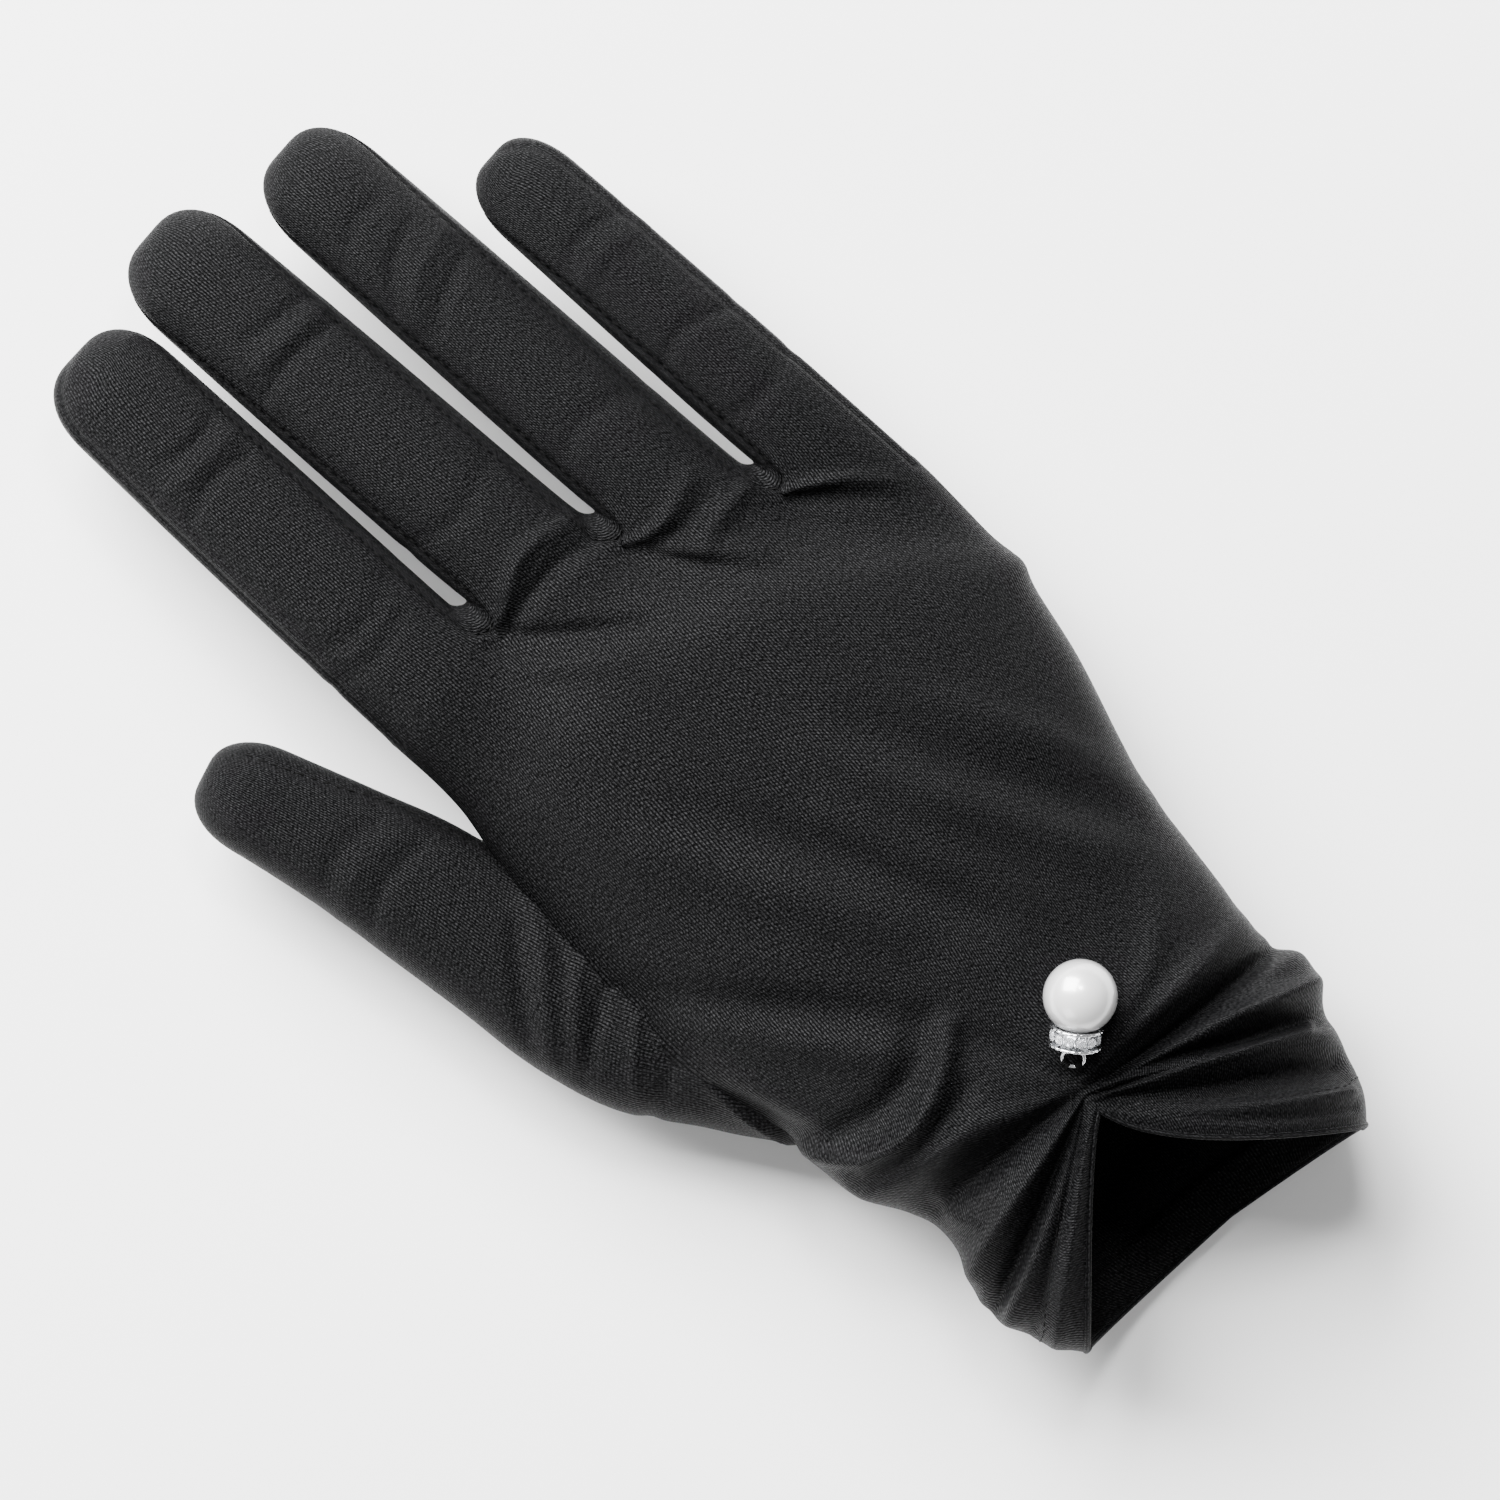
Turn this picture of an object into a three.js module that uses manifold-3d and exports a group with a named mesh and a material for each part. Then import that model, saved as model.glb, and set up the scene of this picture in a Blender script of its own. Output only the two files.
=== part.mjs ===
// A wrist length dress glove in black stretch satin, worn shape, for the right hand.
// Millimetres. +Y runs from the wrist to the fingertips, +Z is the back of the hand
// and +X the little finger's side. The origin is the middle of the wrist, level with
// the point where the hem is gathered up on the back of the hand.
import * as THREE from "three";
import { mergeVertices } from "three/addons/utils/BufferGeometryUtils.js";
import Module from "manifold-3d";

const wasm = await Module();
wasm.setup();

// Driving sizes: the cloth
const WALL = 1.0;
const SEAM_GAP = 0.3;
const FOURCHETTE_WIDTH = 9;

// Driving sizes: the hand
const PALM_LENGTH = 120;
const PALM_DEPTH = 36;
const WRIST_WIDTH = 72;
const WRIST_DEPTH = 41;
const WRIST_SHIFT = 1.5;
const KNUCKLE_SHIFT = 5.65;
const KNUCKLE_RISE = 4.5;
const KNUCKLE_DROP = 17;
const FINGER_GAP = 2.9;
const FINGER_CURL = 8;

// Driving sizes: the cuff and its gather
const CUFF_LENGTH = 33;
const FOLD_DEPTH = 3.2;
const GATHER_SHIFT = -2.7;

// Driving sizes: the soft folds that the stretched cloth draws across the back
const DRAG_HEIGHT = 1.1;
const DRAG_WIDTH = 7;

// Driving sizes: the fingers, from the knuckle arch to the tip
const INDEX_LENGTH = 79.5;
const INDEX_WIDTH = 22;
const INDEX_DEPTH = 17;
const MIDDLE_LENGTH = 85;
const MIDDLE_WIDTH = 22;
const MIDDLE_DEPTH = 17.5;
const RING_LENGTH = 88;
const RING_WIDTH = 20.7;
const RING_DEPTH = 17;
const LITTLE_LENGTH = 78.5;
const LITTLE_WIDTH = 17.5;
const LITTLE_DEPTH = 14.5;

// The four fingers, with the angle that each leans towards the thumb
const FINGERS = [
  { name: "index", length: INDEX_LENGTH, width: INDEX_WIDTH, depth: INDEX_DEPTH, lean: 2.2 },
  { name: "middle", length: MIDDLE_LENGTH, width: MIDDLE_WIDTH, depth: MIDDLE_DEPTH, lean: 4.2 },
  { name: "ring", length: RING_LENGTH, width: RING_WIDTH, depth: RING_DEPTH, lean: 3.7 },
  { name: "little", length: LITTLE_LENGTH, width: LITTLE_WIDTH, depth: LITTLE_DEPTH, lean: 3.4 },
];

// Driving sizes: the thumb, from its root inside the palm to its tip
const THUMB_LENGTH = 122;
const THUMB_WIDTH = 24;
const THUMB_DEPTH = 20;
const THUMB_LEAN = 20.5;
const THUMB_ROOT = new THREE.Vector3(-22, 22, -7);

// Driving sizes: the pearl charm
const PEARL_DIAMETER = 12;
const RONDELLE_DIAMETER = 8.6;
const RONDELLE_HEIGHT = 3.3;
const RIM_THICKNESS = 0.45;
const PEARL_SINK = 1.1;
const STONE_COUNT = 12;
const STONE_DIAMETER = 1.8;
const EYE_DIAMETER = 4.3;
const EYE_BEND = 27;
const WIRE_DIAMETER = 0.7;
const THREAD_LOOP = 2.6;
const THREAD_DIAMETER = 0.5;
const PIN_CLEARANCE = 0.2;
const CHARM_GAP = 0.2;
const CHARM_BEARING = 38.9;
const CHARM_TILT = 16;
const PEARL_PLACE = { x: 9.2, y: 11.9 };

// Sections of the palm from the wrist to the webs. along is a share of the palm's
// length, wrist says how far a section takes the wrist's sizes, left and right are
// shares of the half width, top and bottom of the half depth, and end marks the
// rounded front that closes between the fingers.
const PALM_SECTIONS = [
  { along: 0.235, wrist: 1.0, left: 1.153, right: 1.083, top: 1.0, bottom: 1.02, end: 0 },
  { along: 0.3, wrist: 0.6, left: 1.135, right: 1.0, top: 1.03, bottom: 1.1, end: 0 },
  { along: 0.417, wrist: 0.3, left: 1.113, right: 1.012, top: 1.06, bottom: 1.16, end: 0 },
  { along: 0.54, wrist: 0.1, left: 1.083, right: 1.013, top: 1.05, bottom: 1.1, end: 0 },
  { along: 0.667, wrist: 0, left: 1.048, right: 1.02, top: 1.03, bottom: 0.97, end: 0 },
  { along: 0.79, wrist: 0, left: 1.026, right: 1.02, top: 0.98, bottom: 0.8, end: 0 },
  { along: 0.883, wrist: 0, left: 1.0, right: 1.0, top: 0.89, bottom: 0.66, end: 0 },
  { along: 0.945, wrist: 0, left: 0.985, right: 0.985, top: 0.75, bottom: 0.48, end: 1 },
  { along: 0.982, wrist: 0, left: 0.96, right: 0.96, top: 0.57, bottom: 0.28, end: 1 },
  { along: 1.0, wrist: 0, left: 0.9, right: 0.9, top: 0.37, bottom: 0.1, end: 1 },
];

// Folds of the cuff from the hem to the palm, one row for each ridge or valley that
// fans out of the gather. centre, right, left and palm say how far below the gather
// the row lies there, as shares of the cuff's length. wideRight and wideLeft are
// shares of the wrist's half width, foldRight and foldLeft of the fold depth. bowRight
// and bowLeft bend the row: below 1 it drops steeply beside the gather.
const CUFF_FOLDS = [
  {
    centre: 0.09, right: 1.076, left: 0.894, palm: 0.94, wideRight: 0.72, wideLeft: 0.89,
    foldRight: 0, foldLeft: 0, bowRight: 0.62, bowLeft: 1.2,
  },
  {
    centre: 0.07, right: 0.97, left: 0.742, palm: 0.85, wideRight: 0.8, wideLeft: 0.98,
    foldRight: 0.5, foldLeft: 0.8, bowRight: 0.72, bowLeft: 1.1,
  },
  {
    centre: 0.055, right: 0.833, left: 0.576, palm: 0.73, wideRight: 0.855, wideLeft: 1.03,
    foldRight: -0.9, foldLeft: 0.1, bowRight: 0.85, bowLeft: 1.0,
  },
  {
    centre: 0.03, right: 0.667, left: 0.424, palm: 0.61, wideRight: 0.908, wideLeft: 1.07,
    foldRight: 1.0, foldLeft: -1.0, bowRight: 1, bowLeft: 1,
  },
  {
    centre: 0.012, right: 0.56, left: 0.303, palm: 0.48, wideRight: 0.93, wideLeft: 1.04,
    foldRight: -0.9, foldLeft: 0, bowRight: 1, bowLeft: 1,
  },
  {
    centre: -0.006, right: 0.424, left: 0.121, palm: 0.36, wideRight: 1.014, wideLeft: 0.972,
    foldRight: 0.7, foldLeft: 0.9, bowRight: 1, bowLeft: 1,
  },
  {
    centre: -0.025, right: 0.273, left: -0.03, palm: 0.24, wideRight: 1.05, wideLeft: 0.958,
    foldRight: -1.0, foldLeft: 0, bowRight: 1, bowLeft: 1,
  },
  {
    centre: -0.045, right: 0.136, left: -0.182, palm: 0.12, wideRight: 1.0, wideLeft: 1.0,
    foldRight: -0.3, foldLeft: -1.0, bowRight: 1, bowLeft: 1,
  },
  {
    centre: -0.09, right: 0, left: -0.333, palm: -0.03, wideRight: 0.972, wideLeft: 1.064,
    foldRight: 0.8, foldLeft: 0, bowRight: 1, bowLeft: 1,
  },
  {
    centre: -0.24, right: -0.242, left: -0.515, palm: -0.21, wideRight: 1.01, wideLeft: 1.12,
    foldRight: 0.4, foldLeft: 0.8, bowRight: 1, bowLeft: 1,
  },
  {
    centre: -0.515, right: -0.515, left: -0.636, palm: -0.48, wideRight: 1.042, wideLeft: 1.14,
    foldRight: 0, foldLeft: 0.2, bowRight: 1, bowLeft: 1,
  },
];

// Drag folds of the back, each a straight crest from one place to another. The places
// are shares of the knuckles' half width across and of the palm's length along, high is
// a share of the drag folds' height, below 0 for a valley, and wide of their width.
const BACK_FOLDS = [
  { fromAcross: -0.61, fromAlong: 0.64, toAcross: -0.22, toAlong: 0.34, high: 1.0, wide: 1.0 },
  { fromAcross: -0.42, fromAlong: 0.64, toAcross: 0.04, toAlong: 0.26, high: -0.9, wide: 1.0 },
  { fromAcross: 0.04, fromAlong: 0.57, toAcross: 0.47, toAlong: 0.22, high: 1.1, wide: 1.0 },
  { fromAcross: 0.2, fromAlong: 0.56, toAcross: 0.6, toAlong: 0.24, high: -0.8, wide: 0.9 },
  { fromAcross: -1.0, fromAlong: 0.52, toAcross: -0.37, toAlong: 0.23, high: -1.3, wide: 1.1 },
  { fromAcross: -0.9, fromAlong: 0.44, toAcross: -0.6, toAlong: 0.24, high: 0.9, wide: 0.8 },
  { fromAcross: -0.92, fromAlong: 0.2, toAcross: -0.6, toAlong: 0.13, high: 1.2, wide: 0.9 },
  { fromAcross: -0.6, fromAlong: 0.13, toAcross: -0.34, toAlong: 0.19, high: 1.2, wide: 0.8 },
  { fromAcross: -0.42, fromAlong: 0.97, toAcross: -0.15, toAlong: 0.88, high: -1.1, wide: 0.9 },
  { fromAcross: -0.38, fromAlong: 1.0, toAcross: 0.0, toAlong: 1.03, high: 1.2, wide: 0.7 },
  { fromAcross: 0.1, fromAlong: 0.92, toAcross: 0.36, toAlong: 0.79, high: -1.1, wide: 0.9 },
  { fromAcross: 0.07, fromAlong: 0.95, toAcross: 0.38, toAlong: 0.95, high: 1.0, wide: 0.7 },
  { fromAcross: 0.55, fromAlong: 0.86, toAcross: 0.8, toAlong: 0.8, high: 1.1, wide: 0.8 },
];

// Sections of every finger. along is a share of its length, wide of its width and
// deep of its depth; the first lies inside the palm.
const FINGER_SECTIONS = [
  { along: -0.3, wide: 0.96, deep: 0.94 },
  { along: 0, wide: 1.02, deep: 1.02 },
  { along: 0.2, wide: 1.02, deep: 1.02 },
  { along: 0.45, wide: 1.0, deep: 0.99 },
  { along: 0.65, wide: 0.98, deep: 0.95 },
  { along: 0.8, wide: 0.94, deep: 0.87 },
  { along: 0.89, wide: 0.87, deep: 0.77 },
  { along: 0.95, wide: 0.72, deep: 0.62 },
  { along: 0.985, wide: 0.48, deep: 0.42 },
  { along: 1.0, wide: 0.24, deep: 0.22 },
];

// Sections of the thumb. along and side are shares of its length, side being the
// shift away from the little finger; wide and deep are shares of its width and depth.
const THUMB_SECTIONS = [
  { along: 0, side: 0, wide: 0.75, deep: 0.95 },
  { along: 0.136, side: 0.037, wide: 0.96, deep: 1.05 },
  { along: 0.23, side: 0.054, wide: 1.04, deep: 1.12 },
  { along: 0.33, side: 0.065, wide: 1.18, deep: 1.14 },
  { along: 0.435, side: 0.065, wide: 1.11, deep: 1.1 },
  { along: 0.544, side: 0.05, wide: 1.0, deep: 1.04 },
  { along: 0.675, side: 0.024, wide: 0.98, deep: 1.0 },
  { along: 0.784, side: 0.013, wide: 0.87, deep: 0.93 },
  { along: 0.895, side: 0.006, wide: 0.76, deep: 0.82 },
  { along: 0.956, side: 0.004, wide: 0.68, deep: 0.7 },
  { along: 0.985, side: 0.001, wide: 0.5, deep: 0.52 },
  { along: 1.0, side: 0, wide: 0.26, deep: 0.28 },
];

// How finely round things are faceted
const BACK_SIDES = 22;
const FRONT_SIDES = 12;
const FINGER_SIDES = 12;
const THUMB_SIDES = 14;
const BEAD_SIDES = 14;
const RONDELLE_SIDES = 16;
const WIRE_SIDES = 6;
const SQUARENESS = 2.4;
const FINGER_SQUARENESS = 2.2;
const FAR = 400;

const radians = THREE.MathUtils.degToRad;
const mix = THREE.MathUtils.lerp;
const smooth = THREE.MathUtils.smoothstep;
const sum = (list) => list.reduce((total, value) => total + value, 0);

// Solids

// A closed solid from vertices and triangles, turned so that its faces point out.
function solidFrom(points, faces) {
  const vertProperties = new Float32Array(points.flatMap((p) => [p.x, p.y, p.z]));
  const build = (list) =>
    new wasm.Manifold(
      new wasm.Mesh({ numProp: 3, vertProperties, triVerts: new Uint32Array(list.flat()) }),
    );
  const made = build(faces);
  return made.volume() > 0 ? made : build(faces.map(([a, b, c]) => [a, c, b]));
}

// A three.js geometry as a solid.
function solidOf(geometry) {
  const bare = geometry.clone().deleteAttribute("normal").deleteAttribute("uv");
  const merged = mergeVertices(bare, 1e-4);
  const position = merged.attributes.position;
  const points = Array.from({ length: position.count }, (_, i) =>
    new THREE.Vector3().fromBufferAttribute(position, i),
  );
  const index = Array.from(merged.index.array);
  const faces = Array.from({ length: index.length / 3 }, (_, i) => index.slice(3 * i, 3 * i + 3));
  return solidFrom(points, faces);
}

const centreOf = (ring) =>
  ring.reduce((total, point) => total.add(point), new THREE.Vector3()).divideScalar(ring.length);

// Joins rings with the same number of points by quads and closes both ends with fans.
function loft(rings) {
  const count = rings[0].length;
  const points = rings.flat();
  const start = points.length;
  const finish = start + 1;
  const lastRing = start - count;
  points.push(centreOf(rings[0]), centreOf(rings.at(-1)));
  const faces = [];
  for (let i = 0; i < count; i++) {
    const next = (i + 1) % count;
    for (let base = 0; base < lastRing; base += count) {
      faces.push([base + i, base + next, base + count + next]);
      faces.push([base + i, base + count + next, base + count + i]);
    }
    faces.push([start, next, i]);
    faces.push([finish, lastRing + i, lastRing + next]);
  }
  return solidFrom(points, faces);
}

const joined = (solids) => solids.reduce((total, solid) => total.add(solid));

// The largest body of a solid, so that a cut leaves no crumbs.
const mainBody = (solid) =>
  solid.decompose().reduce((best, body) => (body.volume() > best.volume() ? body : best));

function meshOf(name, solid, material) {
  const { vertProperties, triVerts } = solid.getMesh();
  const geometry = new THREE.BufferGeometry()
    .setAttribute("position", new THREE.BufferAttribute(vertProperties, 3))
    .setIndex(new THREE.BufferAttribute(triVerts, 1));
  geometry.computeVertexNormals();
  const mesh = new THREE.Mesh(geometry, material);
  mesh.name = name;
  return mesh;
}

// The hand's frame

const knuckleWidth = sum(FINGERS.map((f) => f.width)) + FINGER_GAP * (FINGERS.length - 1);

// The middle of each finger's root across the knuckles, side by side with a gap.
const rootX = FINGERS.map(
  (finger, i) =>
    KNUCKLE_SHIFT -
    knuckleWidth / 2 +
    sum(FINGERS.slice(0, i).map((f) => f.width + FINGER_GAP)) +
    finger.width / 2,
);
const webX = FINGERS.slice(1).map((finger, i) => rootX[i + 1] - (finger.width + FINGER_GAP) / 2);

// The knuckles lie on an arch that is highest at the web beside the index finger.
const archDrop = (x) => KNUCKLE_DROP * ((x - webX[0]) / (webX[2] - webX[0])) ** 2;
const rootY = rootX.map((x) => PALM_LENGTH - archDrop(x));
const reach = Math.max(...FINGERS.map((finger, i) => finger.length + rootY[i] - PALM_LENGTH));

// Height of the fingers' middle line: up to the knuckles, then down in a slight curl.
function middleHeight(y) {
  const climb = smooth(y, PALM_LENGTH * 0.5, PALM_LENGTH * 0.92);
  const past = Math.max(0, (y - PALM_LENGTH * 0.92) / reach);
  return KNUCKLE_RISE * climb - FINGER_CURL * past ** 1.6;
}

// Angles round a section: the back of the hand first, then the palm side.
const bodyAngles = [
  ...Array.from({ length: BACK_SIDES }, (_, i) => (Math.PI * i) / BACK_SIDES),
  ...Array.from({ length: FRONT_SIDES }, (_, i) => Math.PI * (1 + i / FRONT_SIDES)),
];

// A table with a row halfway between each two of its rows, on a smooth curve through
// every column. The rows of the rounded front lie close together already.
function refined(rows) {
  const at = (i) => rows[THREE.MathUtils.clamp(i, 0, rows.length - 1)];
  return rows.flatMap((row, i) => {
    if (i === rows.length - 1 || at(i + 1).end) {
      return [row];
    }
    const halfway = (key) =>
      (9 * (row[key] + at(i + 1)[key]) - at(i - 1)[key] - at(i + 2)[key]) / 16;
    return [row, Object.fromEntries(Object.keys(row).map((key) => [key, halfway(key)]))];
  });
}

// Height that the drag folds add to the back at a place: each is a rounded crest that
// fades with the distance from its line and towards the line's ends.
function dragHeight(x, y) {
  const place = new THREE.Vector3(x, y, 0);
  const spot = (across, along) =>
    new THREE.Vector3(KNUCKLE_SHIFT + (across * knuckleWidth) / 2, along * PALM_LENGTH, 0);
  const heights = BACK_FOLDS.map((fold) => {
    const from = spot(fold.fromAcross, fold.fromAlong);
    const crest = new THREE.Line3(from, spot(fold.toAcross, fold.toAlong));
    const share = crest.closestPointToPointParameter(place, true);
    const off = crest.at(share, new THREE.Vector3()).distanceTo(place);
    const crestShape = Math.exp(-((off / (fold.wide * DRAG_WIDTH)) ** 2) * 2);
    return fold.high * DRAG_HEIGHT * crestShape * (0.55 + 0.45 * Math.sin(Math.PI * share));
  });
  return sum(heights);
}

// One ring of the body. side holds each side's half width, level and fold, and pull
// is how far the gather draws the middle of the back sideways.
function bodyRing(section, grow) {
  return bodyAngles.map((angle) => {
    const across = Math.abs(Math.cos(angle)) ** (2 / SQUARENESS);
    const up = Math.abs(Math.sin(angle)) ** (2 / SQUARENESS);
    const onBack = Math.sin(angle) >= 0;
    const toRight = Math.cos(angle) >= 0;
    const side = toRight ? section.right : section.left;
    const dx = (toRight ? 1 : -1) * (side.half + grow) * across;
    const dz = onBack ? (section.top + grow) * up : -(section.bottom + grow) * up;
    const swell = onBack ? FOLD_DEPTH * side.fold * across ** 0.6 * (1 - across ** 4) : 0;
    const push = 1 + swell / Math.hypot(dx, dz);
    const middle = onBack ? section.centreLevel : section.palmLevel;
    const drop = onBack ? across ** side.bow : across;
    const pull = onBack ? section.pull * (1 - across) ** 2 : 0;
    const x = section.centre + dx * push + pull;
    const y = mix(middle, side.level, drop) - section.arch * archDrop(x);
    const drag = onBack ? dragHeight(x, y) * section.drag * Math.min(1, 2 * up) : 0;
    return new THREE.Vector3(x, y + grow * section.end, dz * push + drag);
  });
}

function palmSection(row) {
  const half = mix(knuckleWidth, WRIST_WIDTH, row.wrist) / 2;
  const depth = mix(PALM_DEPTH, WRIST_DEPTH, row.wrist) / 2;
  const level = row.along * PALM_LENGTH;
  return {
    centre: mix(KNUCKLE_SHIFT, WRIST_SHIFT, row.wrist),
    right: { half: half * row.right, level, fold: 0, bow: 1 },
    left: { half: half * row.left, level, fold: 0, bow: 1 },
    top: depth * row.top,
    bottom: depth * row.bottom,
    centreLevel: level,
    palmLevel: level,
    pull: 0,
    arch: smooth(row.along, 0.45, 0.95),
    drag: 1,
    end: row.end,
  };
}

function cuffSection(row) {
  const half = WRIST_WIDTH / 2;
  const depth = WRIST_DEPTH / 2;
  return {
    centre: WRIST_SHIFT,
    right: {
      half: half * row.wideRight,
      level: -CUFF_LENGTH * row.right,
      fold: row.foldRight,
      bow: row.bowRight,
    },
    left: {
      half: half * row.wideLeft,
      level: -CUFF_LENGTH * row.left,
      fold: row.foldLeft,
      bow: row.bowLeft,
    },
    top: depth,
    bottom: depth,
    centreLevel: -CUFF_LENGTH * row.centre,
    palmLevel: -CUFF_LENGTH * row.palm,
    pull: GATHER_SHIFT,
    arch: 0,
    drag: 0,
    end: 0,
  };
}

// The palm and cuff, grown by a distance. With an overrun it runs on past the hem.
function body(grow, overrun) {
  const sections = [...CUFF_FOLDS.map(cuffSection), ...refined(PALM_SECTIONS).map(palmSection)];
  const rings = sections.map((section) => bodyRing(section, grow));
  if (overrun) {
    rings.unshift(rings[0].map((p) => p.clone().setY(p.y - overrun)));
  }
  return loft(rings);
}

// A ring of a finger or the thumb, round a middle point, in the plane of two directions.
function sleeveRing(middle, across, up, halfWide, halfDeep, sides) {
  return Array.from({ length: sides }, (_, i) => {
    const angle = (2 * Math.PI * i) / sides;
    const c = Math.cos(angle);
    const s = Math.sin(angle);
    const power = 2 / FINGER_SQUARENESS;
    return middle
      .clone()
      .addScaledVector(across, Math.sign(c) * Math.abs(c) ** power * halfWide)
      .addScaledVector(up, Math.sign(s) * Math.abs(s) ** power * halfDeep);
  });
}

const LEAST_HALF = 0.3;
const UP = new THREE.Vector3(0, 0, 1);
const leaned = (degrees) =>
  new THREE.Vector3(-Math.sin(radians(degrees)), Math.cos(radians(degrees)), 0);
const crossing = (degrees) =>
  new THREE.Vector3(Math.cos(radians(degrees)), Math.sin(radians(degrees)), 0);

function finger(i, grow) {
  const { length, width, depth, lean } = FINGERS[i];
  return loft(
    FINGER_SECTIONS.map((row) => {
      const middle = new THREE.Vector3(rootX[i], rootY[i], 0);
      middle.addScaledVector(leaned(lean), row.along * (length + grow));
      middle.z = middleHeight(middle.y);
      const halfWide = Math.max(LEAST_HALF, (row.wide * width) / 2 + grow);
      const halfDeep = Math.max(LEAST_HALF, (row.deep * depth) / 2 + grow);
      return sleeveRing(middle, crossing(lean), UP, halfWide, halfDeep, FINGER_SIDES);
    }),
  );
}

function thumb(grow) {
  const middles = THUMB_SECTIONS.map((row) =>
    THUMB_ROOT.clone()
      .addScaledVector(leaned(THUMB_LEAN), row.along * (THUMB_LENGTH + grow))
      .addScaledVector(crossing(THUMB_LEAN), -row.side * THUMB_LENGTH),
  );
  return loft(
    THUMB_SECTIONS.map((row, i) => {
      const ahead = middles[Math.min(i + 1, middles.length - 1)];
      const along = ahead.clone().sub(middles[Math.max(i - 1, 0)]).normalize();
      const across = along.clone().cross(UP).normalize();
      const halfWide = Math.max(LEAST_HALF, (row.wide * THUMB_WIDTH) / 2 + grow);
      const halfDeep = Math.max(LEAST_HALF, (row.deep * THUMB_DEPTH) / 2 + grow);
      return sleeveRing(middles[i], across, UP, halfWide, halfDeep, THUMB_SIDES);
    }),
  );
}

const allFingers = (grow) => joined(FINGERS.map((_, i) => finger(i, grow)));

// The cloth: a hollow hand, cut along its seams

const HEM_OVERRUN = 8;
const outside = body(0, 0).add(allFingers(0));
const inside = body(-WALL, HEM_OVERRUN).add(allFingers(-WALL));
const thumbHole = thumb(-WALL);
const handShell = outside.subtract(inside).subtract(thumbHole);

// A bar with a rectangular section that changes along Y.
const bar = (rows) =>
  loft(
    rows.map(({ y, left, right, low, high }) =>
      [
        [left, low],
        [right, low],
        [right, high],
        [left, high],
      ].map(([x, z]) => new THREE.Vector3(x, y, z)),
    ),
  );

// Everything above or below the side seam, which follows the hand's middle line.
const SEAM_ROWS = 24;
function sideOfSeam(above) {
  const rows = Array.from({ length: SEAM_ROWS + 1 }, (_, i) => {
    const y = mix(-FAR / 2, FAR, i / SEAM_ROWS);
    const seam = middleHeight(Math.min(y, PALM_LENGTH + 2 * reach));
    const low = above ? seam + SEAM_GAP / 2 : -FAR;
    const high = above ? FAR : seam - SEAM_GAP / 2;
    return { y, left: -FAR, right: FAR, low, high };
  });
  return bar(rows);
}

// The strip between two fingers: from one finger's middle to the next one's, as high
// as the fourchette is wide and tapering to its ends at the fingertips.
const STRIP_ROWS = [
  { past: -0.16, wide: 1.0 },
  { past: 0.1, wide: 1.0 },
  { past: 0.4, wide: 0.9 },
  { past: 0.7, wide: 0.72 },
  { past: 0.9, wide: 0.5 },
];
function strip(i, grow) {
  const web = PALM_LENGTH - archDrop(webX[i]);
  const pair = [i, i + 1];
  const run = Math.min(...pair.map((k) => rootY[k] + FINGERS[k].length)) - web;
  const axisX = (k, y) => rootX[k] - (y - rootY[k]) * Math.tan(radians(FINGERS[k].lean));
  return bar(
    STRIP_ROWS.map((row, n) => {
      const last = n === STRIP_ROWS.length - 1;
      const y = web + row.past * run + (last ? grow : 0);
      const half = (row.wide * FOURCHETTE_WIDTH) / 2 + grow;
      const middle = middleHeight(y);
      return { y, left: axisX(i, y), right: axisX(i + 1, y), low: middle - half, high: middle + half };
    }),
  );
}

const cloth = new THREE.MeshStandardMaterial({ color: 0x141416, roughness: 0.55, metalness: 0 });
const glove = new THREE.Group();

const cutStrips = joined(webX.map((_, i) => strip(i, SEAM_GAP)));
const panels = handShell.subtract(cutStrips);
glove.add(meshOf("back_panel", mainBody(panels.intersect(sideOfSeam(true))), cloth));
glove.add(meshOf("palm_panel", mainBody(panels.intersect(sideOfSeam(false))), cloth));
webX.forEach((_, i) => {
  const name = `${FINGERS[i].name}_${FINGERS[i + 1].name}_fourchette`;
  glove.add(meshOf(name, mainBody(handShell.intersect(strip(i, 0))), cloth));
});

const besideHand = body(SEAM_GAP, HEM_OVERRUN).add(allFingers(SEAM_GAP));
const thumbPiece = thumb(0).subtract(thumbHole).subtract(besideHand);
glove.add(meshOf("thumb_piece", mainBody(thumbPiece), cloth));

// The pearl charm, standing along its own +Z: the eye below, the rondelle on z = 0 and
// the pearl in the rondelle's dished top

const silver = new THREE.MeshStandardMaterial({ color: 0xd8dadd, roughness: 0.18, metalness: 1 });
const crystal = new THREE.MeshStandardMaterial({ color: 0xf2f6ff, roughness: 0.02, metalness: 0 });
const nacre = new THREE.MeshStandardMaterial({ color: 0xf1efec, roughness: 0.2, metalness: 0 });
const thread = new THREE.MeshStandardMaterial({ color: 0x101012, roughness: 0.8, metalness: 0 });

const wireRadius = WIRE_DIAMETER / 2;
const pinHole = wireRadius + PIN_CLEARANCE;
const pearlMiddle = RONDELLE_HEIGHT - PEARL_SINK + CHARM_GAP + PEARL_DIAMETER / 2;

// A solid of revolution about +Z from its (radius, height) profile.
const turned = (profile, sides) =>
  solidOf(
    new THREE.LatheGeometry(
      profile.map(([r, h]) => new THREE.Vector2(r, h)),
      sides,
    ).rotateX(Math.PI / 2),
  );

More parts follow.
